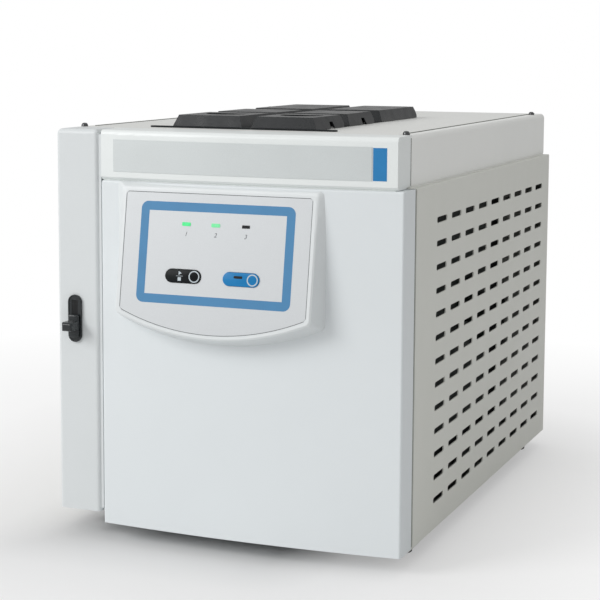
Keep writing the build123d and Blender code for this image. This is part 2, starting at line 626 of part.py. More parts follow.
# ---------------------------------------------------------------- services at the back
def exhaust_duct():
    """Square duct from the oven's rear wall to a collar outside, with the flap's two ears."""
    duct = block(DUCT_X, (OVEN_BACK_Y - 0.6, REAR_Y), DUCT_Z)
    duct += block((DUCT_X[0] - 8, DUCT_X[1] + 8), (REAR_Y, REAR_Y + 1.2), (DUCT_Z[0] - 6, FLAP_AXIS[1] + 4))
    duct -= block((DUCT_X[0] + DUCT_WALL, DUCT_X[1] - DUCT_WALL), (OVEN_BACK_Y - 2, REAR_Y + 2),
                  (DUCT_Z[0] + DUCT_WALL, DUCT_Z[1] - DUCT_WALL))
    ear_z = (FLAP_AXIS[1] - 3.2, FLAP_AXIS[1] + 3.2)
    for left in (DUCT_X[0] - 7, DUCT_X[1] + 3.4):
        ear = block((left, left + 3.6), (REAR_Y + 1, FLAP_AXIS[0] + 3.2), ear_z)
        duct += ear - rod("X", 1.5 + RUNNING_GAP, left - 1, left + 5, FLAP_AXIS)
    return duct


def exhaust_flap():
    """Flat flap that hangs from the pin along its top edge."""
    x = (DUCT_X[0] - 3, DUCT_X[1] + 3)
    flap = block(x, (REAR_Y + 1.6, REAR_Y + 2.8), (DUCT_Z[0] - 4, FLAP_AXIS[1]))
    return flap + rod("X", 1.5, x[0] - 4, x[1] + 4, FLAP_AXIS) + block(
        x, (REAR_Y + 1.6, FLAP_AXIS[0] + 1.6), (FLAP_AXIS[1] - 1.6, FLAP_AXIS[1] + 1.6))


def fan_frame():
    """Square housing of the cooling fan, with the hub and pin that its rotor turns on."""
    x, z = FAN_HOUSING
    half = FAN_SIZE / 2
    front = FAN_FRONT_Y
    frame = block((x - half, x + half), (front, REAR_Y - SHEET), (z - half, z + half))
    frame -= lying_prism(FAN_BORE, 20, 300, 352, FAN_HOUSING)
    frame += lying_prism(15, 8, front, front + 2, FAN_HOUSING)
    strut = block((12, 44), (front, front + 2), (-2, 2))
    frame += [Pos(x, 0, z) * Rot(0, 45 + 90 * i, 0) * strut for i in range(4)]
    return frame + rod("Y", 2, front, front + 18, FAN_HOUSING)


def cooling_fan():
    """Rotor of the cooling fan: a hub with five pitched blades."""
    x, z = FAN_HOUSING
    front = FAN_FRONT_Y + 2.6
    rotor = lying_prism(17, 12, front, front + 20, FAN_HOUSING)
    blade = Rot(24, 0, 0) * block((15, 41), (-9, 9), (-0.8, 0.8))
    rotor += [Pos(x, front + 10, z) * Rot(0, 72 * i, 0) * blade for i in range(5)]
    return rotor - rod("Y", 2 + RUNNING_GAP, front - 1, front + 16.5, FAN_HOUSING)


def fan_guard():
    """Finger guard of two rings and four spokes."""
    x, z = FAN_HOUSING
    limits = (REAR_Y, REAR_Y + 2)
    rings = [lying_prism(r + 1, 12, *limits, FAN_HOUSING) - lying_prism(r - 1, 12, 340, 360, FAN_HOUSING)
             for r in (22, 45)]
    spoke = block((20, 47), limits, (-1, 1))
    return rings[0] + rings[1] + [Pos(x, 0, z) * Rot(0, 45 + 90 * i, 0) * spoke for i in range(4)]


def power_inlet():
    """Mains inlet: flanged socket with three flat pins."""
    left, right = INLET_X
    low, high = INLET_Z
    body = block((left + 0.2, right - 0.2), (320, REAR_Y + 1), (low + 0.2, high - 0.2))
    body += block((left - 9, right + 9), (REAR_Y, REAR_Y + 2), (low - 3, high + 3))
    body -= block((left + 3, right - 3), (326, REAR_Y + 3), (low + 3.5, high - 3.5))
    x, z = sum(INLET_X) / 2, sum(INLET_Z) / 2
    return body + [block((x + dx - 1, x + dx + 1), (325, 343), (z + dz - 2.5, z + dz + 2.5))
                   for dx, dz in ((-7, -1.5), (0, 2.5), (7, -1.5))]


def switch_frame():
    x, z = SWITCH_X, SWITCH_Z
    body = block((x[0] + 0.2, x[1] - 0.2), (326, REAR_Y + 1), (z[0] + 0.2, z[1] - 0.2))
    body += block((x[0] - 2, x[1] + 2), (REAR_Y, REAR_Y + 1.5), (z[0] - 2, z[1] + 2))
    body -= block((x[0] + 2, x[1] - 2), (333, REAR_Y + 3), (z[0] + 1.2, z[1] - 1.2))
    return body - rod("X", 1.2 + RUNNING_GAP, x[0] + 0.6, x[1] - 0.6, SWITCH_AXIS)


def mains_switch():
    """Rocker with one end proud, on a pin across its frame."""
    x = (SWITCH_X[0] + 2.3, SWITCH_X[1] - 2.3)
    outline = Polyline((-5.8, -1.2), (5.8, -1.2), (5.8, 5), (0, 6.4), (-5.8, 8.3), (-5.8, -1.2))
    rocker = extrude(make_face(outline), (x[1] - x[0]) / 2, both=True)
    rocker = Pos(sum(x) / 2, *SWITCH_AXIS) * Rot(0, 90, 0) * rocker
    return rocker + rod("X", 1.2, x[0] - 1.4, x[1] + 1.4, SWITCH_AXIS)


def gas_inlets():
    """Three bulkhead stubs, each through a hexagonal nut."""
    fittings = []
    for x in GAS_X:
        nut = lying_prism(7.5, 6, REAR_Y, REAR_Y + 5, (x, GAS_Z))
        fittings.append(nut + rod("Y", GAS_R, REAR_Y + 4, GAS_END_Y, (x, GAS_Z)))
    return Compound(fittings)


def comm_ports():
    """Connector plate with three square sockets."""
    plate = block((20, 100), (REAR_Y, REAR_Y + 1.2), (52, 84))
    z = PORT_Z
    for x in PORT_X:
        plate += block((x, x + 16), (REAR_Y - 14, REAR_Y + 2.4), z)
        plate -= block((x + 2, x + 14), (REAR_Y - 10, REAR_Y + 4), (z[0] + 2, z[1] - 2))
    return plate


def gas_manifold():
    """Pneumatic block behind the left column, with its valves."""
    manifold = block((-204, -168), (-262, -150), (330, 362))
    return manifold + [prism(9, 8, 362, 392, (-186, y)) for y in (-244, -219, -194, -169)]


def main_board():
    """Circuit board on four posts, with connectors, capacitors, chips and a finned heat sink."""
    face = BOARD_X + 1.6
    board = block((BOARD_X, face), (-240, 210), (90, 410))
    board += [block((161.5, BOARD_X), (y, y + 6), (z, z + 6)) for y in (-230, 196) for z in (100, 396)]
    board += [block((face, face + 8), (y, y + 50), (380, 396)) for y in (-200, -120, 40)]
    board += [block((face, face + 26), (y, y + 14), (330, 344)) for y in (-180, -150)]
    board += [block((face, face + 2.5), (y, y + 26), (200, 226)) for y in (-160, -60)]
    board += block((face, face + 4), (60, 150), (200, 280))
    return board + [block((face + 3, face + 26), (60, 150), (z, z + 2)) for z in range(202, 280, 25)]


def power_supply():
    """Vented case round a transformer, on the base pan."""
    z = (FOOT_HEIGHT + SHEET, 96)
    case = block((10, 140), (110, 300), z) - block((12, 138), (112, 298), (z[0] + 2, z[1] - 2))
    case -= [Pos(75, 140 + 30 * i, z[1]) * Box(90, 5, 6) for i in range(5)]
    return Compound([case, block((30, 90), (140, 200), (z[0] + 2, 80))])


def all_nodes():
    """Every node's name and the function that makes it."""
    plain = [base_pan, feet, front_frame, left_column, top_cover, fascia, label_plate, rear_panel,
             electronics_partition, front_strip, top_screws, oven_insulation, oven_liner, oven_baffle,
             heater_rings, oven_fan, oven_motor, column_hanger, injectors, detectors, electrometers,
             cover_ears, door_skin, door_inner_panel, door_insulation, door_plug, door_gasket,
             hinge_blocks, hinge_pins, hinge_brackets, striker_plate, panel_bezel, panel_overlay, lamps,
             latch_housing, latch_lever, exhaust_duct, exhaust_flap, fan_frame, cooling_fan, fan_guard,
             power_inlet, switch_frame, mains_switch, gas_inlets, comm_ports, gas_manifold, main_board,
             power_supply]
    nodes = {make.__name__: make for make in plain}
    nodes["left_side_panel"] = lambda: side_panel(-1, False)
    nodes["right_side_panel"] = lambda: side_panel(1, True)
    nodes["upper_side_panels"] = lambda: Compound([upper_panel(-1), upper_panel(1)])
    nodes["start_button"] = lambda: pill_button(BUTTON_X[0])
    nodes["standby_button"] = lambda: pill_button(BUTTON_X[1])
    for row in COVER_ROWS:
        for column in COVER_COLUMNS:
            nodes[f"cover_{row}_{column}"] = lambda c=column, r=row: module_cover(c, r)
    return nodes


for node, make in all_nodes().items():
    save(node, make())
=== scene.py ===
import json
import math
import bmesh
import bpy
from mathutils import Matrix, Vector

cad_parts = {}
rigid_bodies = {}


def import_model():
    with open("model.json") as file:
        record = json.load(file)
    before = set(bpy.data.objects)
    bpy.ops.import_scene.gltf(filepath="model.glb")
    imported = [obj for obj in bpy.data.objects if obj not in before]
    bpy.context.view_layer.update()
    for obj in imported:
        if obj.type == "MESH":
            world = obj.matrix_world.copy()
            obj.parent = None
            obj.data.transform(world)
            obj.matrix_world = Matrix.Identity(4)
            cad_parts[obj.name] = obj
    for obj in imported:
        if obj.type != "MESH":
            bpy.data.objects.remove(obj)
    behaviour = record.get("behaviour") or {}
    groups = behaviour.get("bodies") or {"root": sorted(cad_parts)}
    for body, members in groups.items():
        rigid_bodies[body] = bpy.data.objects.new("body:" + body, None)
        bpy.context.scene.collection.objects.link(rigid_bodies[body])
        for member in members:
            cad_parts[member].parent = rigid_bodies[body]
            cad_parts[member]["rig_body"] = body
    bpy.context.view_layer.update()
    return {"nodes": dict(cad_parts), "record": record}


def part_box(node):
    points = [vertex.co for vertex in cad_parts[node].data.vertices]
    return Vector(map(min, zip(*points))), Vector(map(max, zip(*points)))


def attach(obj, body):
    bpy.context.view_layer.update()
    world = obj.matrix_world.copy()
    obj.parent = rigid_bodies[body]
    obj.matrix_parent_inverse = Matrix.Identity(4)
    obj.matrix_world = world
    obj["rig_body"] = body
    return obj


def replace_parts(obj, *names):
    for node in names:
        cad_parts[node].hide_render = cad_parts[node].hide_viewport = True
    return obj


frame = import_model()
MM = 0.001

# ---------------------------------------------------------------- places, mm
PANEL_TILT = math.radians(9.0)                # the control panel leans back from its lower lip
PANEL_TOP = Vector((2.5, -341.0, 428.0))      # middle of the panel's top edge, on its face
FILM_DEPTH = 0.2                              # the overlay film's surface, behind that face
BORDER_X = (-92.4, 98.3)                      # blue border on the film: x, and z as seen from the front
BORDER_Z = (297.8, 412.5)
BORDER_BAND = 10.3
BORDER_CORNER = 8.5
LAMP_X = (-34.4, 2.1, 39.3)
LAMP_Z = 388.1
KEY_X = {"start_button": -34.4, "standby_button": 37.4}
KEY_Z = 329.6
KEY_SIZE = (44.6, 15.6)
KEY_RING = (6.7, 5.4)                         # outer and inner radius of the ring on a key
KEY_RING_OFFSET = 14.2                        # the ring's middle, right of the key's middle
KEY_TOP = 1.2                                 # a key's face, out of the panel's face
PRINT = 0.06                                  # thickness of a printed layer
SHIELD = (120.5, -145.0, -170.0)              # the panel's half width, and how low its sides and its arc end
DOOR_TOP_FRONT = (-325.0, 432.9)              # edges before this y and above this z are the door's top front
SLOTTED_SHEET_X = 217.9                       # inner face of the slotted sheet
SLOT_FIELD = ((-250.0, 335.0), (40.0, 405.0))     # y and z that the slots' corners lie between
SEAL_ENDS = (24.0, 431.0)                     # foot and top of the upright seals at the door
LATCH_MIDDLE = (-188.0, 267.3)                # x and z of the middle of the latch's plate
SMOOTH_ANGLE = math.radians(35.0)             # sharper edges stay sharp

# ---------------------------------------------------------------- floor and camera, m and degrees
SHADOW_MIDDLE = (-0.08, -0.08)                # the floor's shaded patch
SHADOW_HALF = (0.14, 0.28)
FADE = ((0.08, 0.3), (0.4, 0.72))             # distance from the patch, and share of plain white there
CAMERA_PLACE = (0.7769, -2.0358, 0.5945)
CAMERA_TURN = 21.714                          # to the left, from looking along +Y
CAMERA_DIP = 6.658                            # below level
CAMERA_ROLL = 0.303


def srgb(red, green, blue):
    """Colour as written on a screen, from 0 to 255, for a shader."""
    def linear(value):
        value /= 255.0
        return value / 12.92 if value <= 0.04045 else ((value + 0.055) / 1.055) ** 2.4
    return (linear(red), linear(green), linear(blue), 1.0)


# ---------------------------------------------------------------- materials
class Finish:
    """A Principled material on Object coordinates, built up by the calls below."""

    def __init__(self, name, colour, roughness, metallic=0.0):
        self.material = bpy.data.materials.new(name)
        self.material.use_nodes = True
        self.tree = self.material.node_tree
        self.shader = self.tree.nodes["Principled BSDF"]
        self.colour = colour
        self.place = self.node("ShaderNodeTexCoord").outputs["Object"]
        self.normal = None
        self.set("Base Color", colour)
        self.set("Roughness", roughness)
        self.set("Metallic", metallic)

    def node(self, kind, **settings):
        made = self.tree.nodes.new(kind)
        for key, value in settings.items():
            setattr(made, key, value)
        return made

    def link(self, output, target):
        self.tree.links.new(output, target)

    def set(self, socket, value):
        self.shader.inputs[socket].default_value = value
        return self

    def stretched(self, scale):
        """Object coordinates stretched by a scale for each axis."""
        mapping = self.node("ShaderNodeMapping")
        mapping.inputs["Scale"].default_value = scale
        self.link(self.place, mapping.inputs["Vector"])
        return mapping.outputs["Vector"]

    def noise(self, scale, detail=2.0, stretch=None):
        made = self.node("ShaderNodeTexNoise")
        made.inputs["Scale"].default_value = scale
        made.inputs["Detail"].default_value = detail
        self.link(self.stretched(stretch) if stretch else self.place, made.inputs["Vector"])
        return made.outputs["Fac"]

    def ranged(self, value, low, high, start=0.3, end=0.7):
        made = self.node("ShaderNodeMapRange")
        for socket, number in (("From Min", start), ("From Max", end), ("To Min", low), ("To Max", high)):
            made.inputs[socket].default_value = number
        self.link(value, made.inputs["Value"])
        return made.outputs["Result"]

    def blend(self, factor, first, second):
        """Colour mixed by a factor; each colour is a value or a socket."""
        made = self.node("ShaderNodeMix", data_type="RGBA")
        self.link(factor, made.inputs["Factor"])
        for socket, colour in ((made.inputs[6], first), (made.inputs[7], second)):
            if hasattr(colour, "node"):
                self.link(colour, socket)
            else:
                socket.default_value = colour
        return made.outputs[2]

    def mottle(self, spread, scale, stretch=None):
        """Slow change of shade over the surface."""
        darker = [c * (1 - spread) for c in self.colour[:3]] + [1.0]
        lighter = [min(1.0, c * (1 + spread)) for c in self.colour[:3]] + [1.0]
        factor = self.ranged(self.noise(scale, 3.0, stretch), 0.0, 1.0)
        self.link(self.blend(factor, darker, lighter), self.shader.inputs["Base Color"])
        return self

    def gloss_change(self, low, high, scale, stretch=None):
        self.link(self.ranged(self.noise(scale, 3.0, stretch), low, high), self.shader.inputs["Roughness"])
        return self

    def grain(self, scale, height, strength=0.5, stretch=None):
        """Fine relief of a given height in metres."""
        bump = self.node("ShaderNodeBump")
        bump.inputs["Strength"].default_value = strength
        bump.inputs["Distance"].default_value = height
        self.link(self.noise(scale, 2.0, stretch), bump.inputs["Height"])
        if self.normal:
            self.link(self.normal, bump.inputs["Normal"])
        self.normal = bump.outputs["Normal"]
        self.link(self.normal, self.shader.inputs["Normal"])
        return self


def powder_paint(name, colour, roughness=0.42):
    """Textured powder coating on sheet steel."""
    finish = Finish(name, colour, roughness).set("Specular IOR Level", 0.45)
    return finish.mottle(0.012, 5.0).gloss_change(roughness - 0.05, roughness + 0.05, 30.0).grain(
        1500.0, 0.00012, 0.35).material


def moulding(name, colour, roughness=0.4, relief=0.00006, shine=0.5):
    """Injection-moulded plastic with a fine spark-eroded grain."""
    finish = Finish(name, colour, roughness).set("Specular IOR Level", shine)
    return finish.mottle(0.015, 14.0).gloss_change(roughness - 0.05, roughness + 0.06, 60.0).grain(
        2600.0, relief, 0.4).material


def brushed_metal(name, colour, roughness=0.32, along="X"):
    """Metal with fine parallel scratches along one axis."""
    stretch = {"X": (2, 260, 260), "Y": (260, 2, 260), "Z": (260, 260, 2)}[along]
    finish = Finish(name, colour, roughness, 1.0).mottle(0.06, 4.0, stretch)
    finish.gloss_change(roughness - 0.08, roughness + 0.1, 3.0, stretch)
    return finish.grain(6.0, 0.00004, 0.25, stretch).material


def cast_metal(name, colour, roughness=0.5):
    finish = Finish(name, colour, roughness, 0.85)
    return finish.mottle(0.08, 60.0).gloss_change(roughness - 0.1, roughness + 0.1, 90.0).grain(
        700.0, 0.0003, 0.5).material


def zinc_sheet(name):
    """Zinc-plated sheet with its faint crystal pattern."""
    colour = srgb(176, 179, 180)
    finish = Finish(name, colour, 0.36, 0.9)
    crystals = finish.node("ShaderNodeTexVoronoi")
    crystals.inputs["Scale"].default_value = 90.0
    finish.link(finish.place, crystals.inputs["Vector"])
    shade = finish.node("ShaderNodeSeparateColor")
    finish.link(crystals.outputs["Color"], shade.inputs["Color"])
    tone = finish.blend(shade.outputs["Red"], srgb(166, 169, 171), srgb(187, 190, 190))
    finish.link(tone, finish.shader.inputs["Base Color"])
    return finish.gloss_change(0.3, 0.44, 50.0).grain(900.0, 0.00005, 0.3).material


def fibre_board(name):
    """Pressed ceramic fibre."""
    finish = Finish(name, srgb(226, 221, 206), 0.95)
    finish.mottle(0.06, 120.0, (1, 3, 1))
    return finish.grain(420.0, 0.0012, 0.8, (1, 4, 1)).material


def rubber(name, colour=srgb(34, 35, 36)):
    finish = Finish(name, colour, 0.78).set("Specular IOR Level", 0.3)
    return finish.mottle(0.12, 80.0).grain(1800.0, 0.0002, 0.5).material


def circuit_board(name):
    """Green solder resist with slightly paler traces, darkened to near black as painted shade seen through
    the side slots.
    """
    finish = Finish(name, srgb(8, 26, 16), 0.45)
    traces = finish.node("ShaderNodeTexBrick")
    traces.inputs["Scale"].default_value = 55.0
    traces.inputs["Mortar Size"].default_value = 0.035
    traces.inputs["Color1"].default_value = srgb(8, 24, 15)
    traces.inputs["Color2"].default_value = srgb(9, 28, 17)
    traces.inputs["Mortar"].default_value = srgb(22, 50, 34)
    turned = finish.node("ShaderNodeMapping")
    turned.inputs["Rotation"].default_value = (0.0, math.radians(90), 0.0)
    finish.link(finish.place, turned.inputs["Vector"])
    finish.link(turned.outputs["Vector"], traces.inputs["Vector"])
    finish.link(traces.outputs["Color"], finish.shader.inputs["Base Color"])
    return finish.gloss_change(0.28, 0.45, 40.0).material


def silver_film(name, colour):
    """Printed polyester film: fine metallic fleck under a satin surface."""
    finish = Finish(name, colour, 0.44, 0.25)
    finish.mottle(0.03, 1400.0)
    return finish.gloss_change(0.38, 0.5, 20.0).grain(2200.0, 0.00003, 0.25).material


def ink(name, colour, roughness=0.45):
    """Printed ink with a slight change of density."""
    finish = Finish(name, colour, roughness)
    return finish.mottle(0.03, 45.0).grain(2600.0, 0.00002, 0.2).material


def lit_lens(name, colour, strength):
    """Diffusing lens with its lamp on."""
    finish = Finish(name, colour, 0.25)
    finish.mottle(0.06, 300.0)
    finish.set("Emission Color", colour).set("Emission Strength", strength)
    finish.set("Coat Weight", 0.4).set("Coat Roughness", 0.1)
    return finish.gloss_change(0.2, 0.32, 200.0).material


SLOTS = {part["node"]: part["material_slot"] for part in frame["record"]["subparts"]}
START_SLOT = SLOTS["start_button"]
STANDBY_SLOT = SLOTS["standby_button"]
MATERIALS = {
    "door_paint": powder_paint("door_paint", srgb(224, 229, 231)),
    "fascia_plastic": moulding("fascia_plastic", srgb(231, 235, 234), 0.38, 0.00004),
    "column_paint": powder_paint("column_paint", srgb(217, 221, 222)),
    "side_paint": powder_paint("side_paint", srgb(217, 218, 211)),
    "top_paint": powder_paint("top_paint", srgb(225, 226, 223)),
    "label_silver": silver_film("label_silver", srgb(207, 212, 212)),
    "bezel_plastic": moulding("bezel_plastic", srgb(222, 226, 227), 0.34, 0.00003),
    "overlay_film": silver_film("overlay_film", srgb(203, 206, 208)),
    START_SLOT: moulding("key_black", srgb(16, 20, 22), 0.34, 0.00002, 0.15),
    STANDBY_SLOT: moulding("key_blue", srgb(18, 122, 182), 0.34, 0.00002, 0.3),
    "lamp_lens": lit_lens("lamp_lens", srgb(70, 214, 130), 0.35),
    "cover_black": moulding("cover_black", srgb(17, 21, 24), 0.3, 0.00001, 0.25),
    "screw_black": cast_metal("screw_black", srgb(92, 93, 94), 0.28),
    "latch_plastic": moulding("latch_plastic", srgb(42, 46, 48), 0.24, 0.00002, 0.4),
    "rubber_black": rubber("rubber_black"),
    "chassis_zinc": zinc_sheet("chassis_zinc"),
    "oven_stainless": brushed_metal("oven_stainless", srgb(205, 204, 200), 0.28, "Z"),
    "fibre_insulation": fibre_board("fibre_insulation"),
    "heater_alloy": cast_metal("heater_alloy", srgb(112, 96, 86), 0.6),
    "motor_casting": cast_metal("motor_casting", srgb(150, 152, 154), 0.45),
    "module_steel": brushed_metal("module_steel", srgb(196, 196, 193), 0.25, "X"),
    "gasket_silicone": rubber("gasket_silicone", srgb(158, 62, 44)),
    "circuit_board": circuit_board("circuit_board"),
    "fitting_brass": brushed_metal("fitting_brass", srgb(214, 172, 96), 0.22, "Y"),
    "service_black": moulding("service_black", srgb(36, 37, 40), 0.45, 0.00006),
}
# painted light: a lighter copy of the side paint for the upper side panels and the seals under them
SIDE_PAINT_LIT = powder_paint("side_paint_lit", srgb(238, 239, 236))
# painted shade: the zinc partition behind the side slots drawn near black, for the shade inside the cabinet
SHADE_BLACK_SHEET = powder_paint("painted_shade_sheet", srgb(10, 10, 11), 0.8)
OWN_FINISH = {"upper_side_panels": SIDE_PAINT_LIT, "electronics_partition": SHADE_BLACK_SHEET,
              "hinge_brackets": MATERIALS["side_paint"]}
BLUE_INK = ink("blue_ink", srgb(66, 130, 176))
TAB_INK = ink("tab_ink", srgb(26, 124, 184))
DARK_INK = ink("dark_ink", srgb(70, 74, 78))
# painted shade for the narrow recess round the control panel's film
GAP_SHADE_INK = ink("gap_shade_ink", srgb(104, 108, 111))
# painted shade: the mid grey of shaded joints and steps
SHADE_LINE_GREY = ink("painted_shade_line", srgb(146, 148, 144), 0.7)
PALE_INK = ink("pale_ink", srgb(190, 200, 206))
DARK_LENS = moulding("dark_lens", srgb(24, 26, 28), 0.18, 0.00001)
SOFT_LENS = lit_lens("soft_lens", srgb(112, 216, 150), 0.3)


# ---------------------------------------------------------------- making pieces
def put(name, bm, material, body):
    """Turn a bmesh into a finished piece that rides a body."""
    mesh = bpy.data.meshes.new(name)
    bmesh.ops.recalc_face_normals(bm, faces=bm.faces)
    bm.to_mesh(mesh)
    bm.free()
    mesh.shade_smooth()
    mesh.set_sharp_from_angle(angle=SMOOTH_ANGLE)
    mesh.materials.append(material)
    piece = bpy.data.objects.new(name, mesh)
    bpy.context.scene.collection.objects.link(piece)
    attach(piece, body)
    return piece


def shade_evenly(piece):
    """Let large faces set the shading next to their rounded edges."""
    piece.modifiers.new("even shading", "WEIGHTED_NORMAL").keep_sharp = True


def dressed(node, edge=0.0, segments=2, roll=None):
    """Smooth-shaded stand-in for a CAD node, with its edges broken by edge mm.

    roll is a test for the edges that are rounded off further first, their radius in mm and its steps."""
    source = frame["nodes"][node]
    bm = bmesh.new()
    bm.from_mesh(source.data)
    bmesh.ops.remove_doubles(bm, verts=bm.verts, dist=0.00001)
    bmesh.ops.dissolve_limit(bm, angle_limit=math.radians(0.4), verts=bm.verts, edges=bm.edges)
    if roll:
        chosen = [e for e in bm.edges if roll[0](*(v.co / MM for v in e.verts))]
        bmesh.ops.bevel(bm, geom=chosen, offset=roll[1] * MM, segments=roll[2], profile=0.5, affect="EDGES",
                        material=-1, clamp_overlap=True)
    mesh = bpy.data.meshes.new(node + "_finish")
    bm.to_mesh(mesh)
    bm.free()
    mesh.shade_smooth()
    mesh.set_sharp_from_angle(angle=SMOOTH_ANGLE)
    mesh.materials.append(source.data.materials[0])
    piece = bpy.data.objects.new(node + "_finish", mesh)
    bpy.context.scene.collection.objects.link(piece)
    if edge:
        bevel = piece.modifiers.new("broken edges", "BEVEL")
        bevel.width = edge * MM
        bevel.segments = segments
        bevel.limit_method = "ANGLE"
        bevel.angle_limit = SMOOTH_ANGLE
        bevel.harden_normals = False
    shade_evenly(piece)
    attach(piece, source["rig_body"])
    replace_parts(piece, node)
    return piece


def on_door_top(first, second):
    """Whether an edge lies along the front of the door's top."""
    return all(end.y < DOOR_TOP_FRONT[0] and end.z > DOOR_TOP_FRONT[1] for end in (first, second))


def at_slot_corner(first, second):
    """Whether an edge is a corner of a slot, through the right side panel's sheet."""
    across = abs(first.x - second.x) > (first - second).length - 0.01
    (front, back), (low, high) = SLOT_FIELD
    in_field = front < first.y < back and low < first.z < high
    return min(first.x, second.x) > SLOTTED_SHEET_X and across and in_field


def panel_matrix():
    """From x, height up the panel and distance out of its face, mm, to the row's metres."""
    up = Vector((0.0, math.sin(PANEL_TILT), math.cos(PANEL_TILT)))
    out = Vector((0.0, -math.cos(PANEL_TILT), math.sin(PANEL_TILT)))
    right = Vector((1.0, 0.0, 0.0))
    turn = Matrix((right, up, out)).transposed().to_4x4()
    start = Matrix.Translation(Vector((0.0, PANEL_TOP.y, PANEL_TOP.z)))
    return Matrix.Scale(MM, 4) @ start @ turn


def up_panel(z):
    """Height up the panel's face, from its top edge, of a point seen at height z."""
    return (z - PANEL_TOP.z) / math.cos(PANEL_TILT)


def outline(bm, size, at, corner=0.0, segments=8):
    """Closed loop of edges: a rectangle, with round corners if corner is given."""
    placed = Matrix.Translation((at[0], at[1], 0.0)) @ Matrix.Diagonal((size[0] / 2, size[1] / 2, 1.0, 1.0))
    made = bmesh.ops.create_grid(bm, x_segments=1, y_segments=1, size=1.0, matrix=placed)
    verts = made["verts"]
    if corner:
        rounded = bmesh.ops.bevel(bm, geom=verts, offset=corner, segments=segments, profile=0.5,
                                  affect="VERTICES", material=-1)
        verts = rounded["verts"]
    faces = {face for vert in verts for face in vert.link_faces}
    bmesh.ops.delete(bm, geom=list(faces), context="FACES_ONLY")
    return bm


def circle(bm, radius, at, segments=48):
    """Closed loop of edges round a point."""
    placed = Matrix.Translation((at[0], at[1], 0.0))
    bmesh.ops.create_circle(bm, segments=segments, radius=radius, matrix=placed)
    return bm


def sheet_from_loops(bm, low, high, bridged=False):
    """Fill between the loops, or bridge two alike, and give the sheet its thickness, from low to high."""
    if bridged:
        bmesh.ops.bridge_loops(bm, edges=bm.edges[:])
    else:
        bmesh.ops.triangle_fill(bm, edges=bm.edges, use_beauty=True)
        bmesh.ops.dissolve_limit(bm, angle_limit=0.01, verts=bm.verts, edges=bm.edges)
    bmesh.ops.translate(bm, verts=bm.verts, vec=(0.0, 0.0, low))
    raised = bmesh.ops.extrude_face_region(bm, geom=bm.faces[:], use_keep_orig=True)
    top = [item for item in raised["geom"] if isinstance(item, bmesh.types.BMVert)]
    bmesh.ops.translate(bm, verts=top, vec=(0.0, 0.0, high - low))
    return bm


def round_rim(bm, top, radius, segments):
    """Round off the outer edges of a sheet's upper face."""
    bm.normal_update()
    rim = [e for e in bm.edges if all(abs(v.co.z - top) < 0.01 for v in e.verts)
           and any(abs(f.normal.z) < 0.5 for f in e.link_faces)]
    bmesh.ops.bevel(bm, geom=rim, offset=radius, segments=segments, profile=0.5, affect="EDGES", material=-1)


def to_metres(bm):
    """Scale a piece that was built in place, in mm."""
    bmesh.ops.scale(bm, vec=(MM, MM, MM), verts=bm.verts)


def on_panel(name, bm, material, body):
    """Finished piece from one built flat, in the panel's own directions."""
    bmesh.ops.transform(bm, matrix=panel_matrix(), verts=bm.verts)
    return put(name, bm, material, body)


# ---------------------------------------------------------------- control panel
def shield(bm, inset):
    """Loop along the panel's outline: three straight sides and an arc, inset mm inside its edge."""
    half, side, low = SHIELD[0] - inset, inset * 0.8 + SHIELD[1], inset + SHIELD[2]
    rise = side - low
    radius = (half**2 + rise**2) / (2 * rise)
    corners = [(half, side), (half, -inset), (-half, -inset), (-half, side)]
    arc = []
    for step in range(1, 32):
        x = half * (step / 16.0 - 1.0)
        arc.append((x, low + radius - math.sqrt(radius**2 - x**2)))
    verts = [bm.verts.new((PANEL_TOP.x + x, y, 0.0)) for x, y in corners + arc]
    for first, second in zip(verts, verts[1:] + verts[:1]):
        bm.edges.new((first, second))
    return bm


def panel_gap_shade():
    """Painted shade: a dark line in the narrow recess where the film meets the bezel."""
    outer, inner = 5.2, 5.75
    bm = shield(shield(bmesh.new(), outer), inner)
    sheet_from_loops(bm, -FILM_DEPTH, -FILM_DEPTH + PRINT)
    on_panel("panel_gap_shade", bm, GAP_SHADE_INK, "door")


def panel_prints():
    """Blue border with square inner corners, and the paler film inside it."""
    middle = (sum(BORDER_X) / 2, (up_panel(BORDER_Z[0]) + up_panel(BORDER_Z[1])) / 2)
    size = (BORDER_X[1] - BORDER_X[0], up_panel(BORDER_Z[1]) - up_panel(BORDER_Z[0]))
    inner = (size[0] - 2 * BORDER_BAND, size[1] - 2 * BORDER_BAND)
    bm = outline(bmesh.new(), size, middle, BORDER_CORNER)
    outline(bm, inner, middle)
    sheet_from_loops(bm, -FILM_DEPTH, -FILM_DEPTH + PRINT)
    on_panel("panel_border", bm, BLUE_INK, "door")


def key(node, material, ring_material, body):
    """Pill-shaped key with a rounded rim and a printed ring round the finger's spot."""
    at = (KEY_X[node], up_panel(KEY_Z))
    bm = outline(bmesh.new(), KEY_SIZE, at, KEY_SIZE[1] / 2 - 0.01, 14)
    sheet_from_loops(bm, -2.6, KEY_TOP)
    round_rim(bm, KEY_TOP, 0.7, 4)
    body_piece = on_panel(node + "_cap", bm, material, body)
    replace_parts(body_piece, node)
    spot = (at[0] + KEY_RING_OFFSET, at[1])
    bm = circle(bmesh.new(), KEY_RING[0], spot)
    circle(bm, KEY_RING[1], spot)
    sheet_from_loops(bm, KEY_TOP - 0.05, KEY_TOP + 0.12)
    on_panel(node + "_ring", bm, ring_material, body)


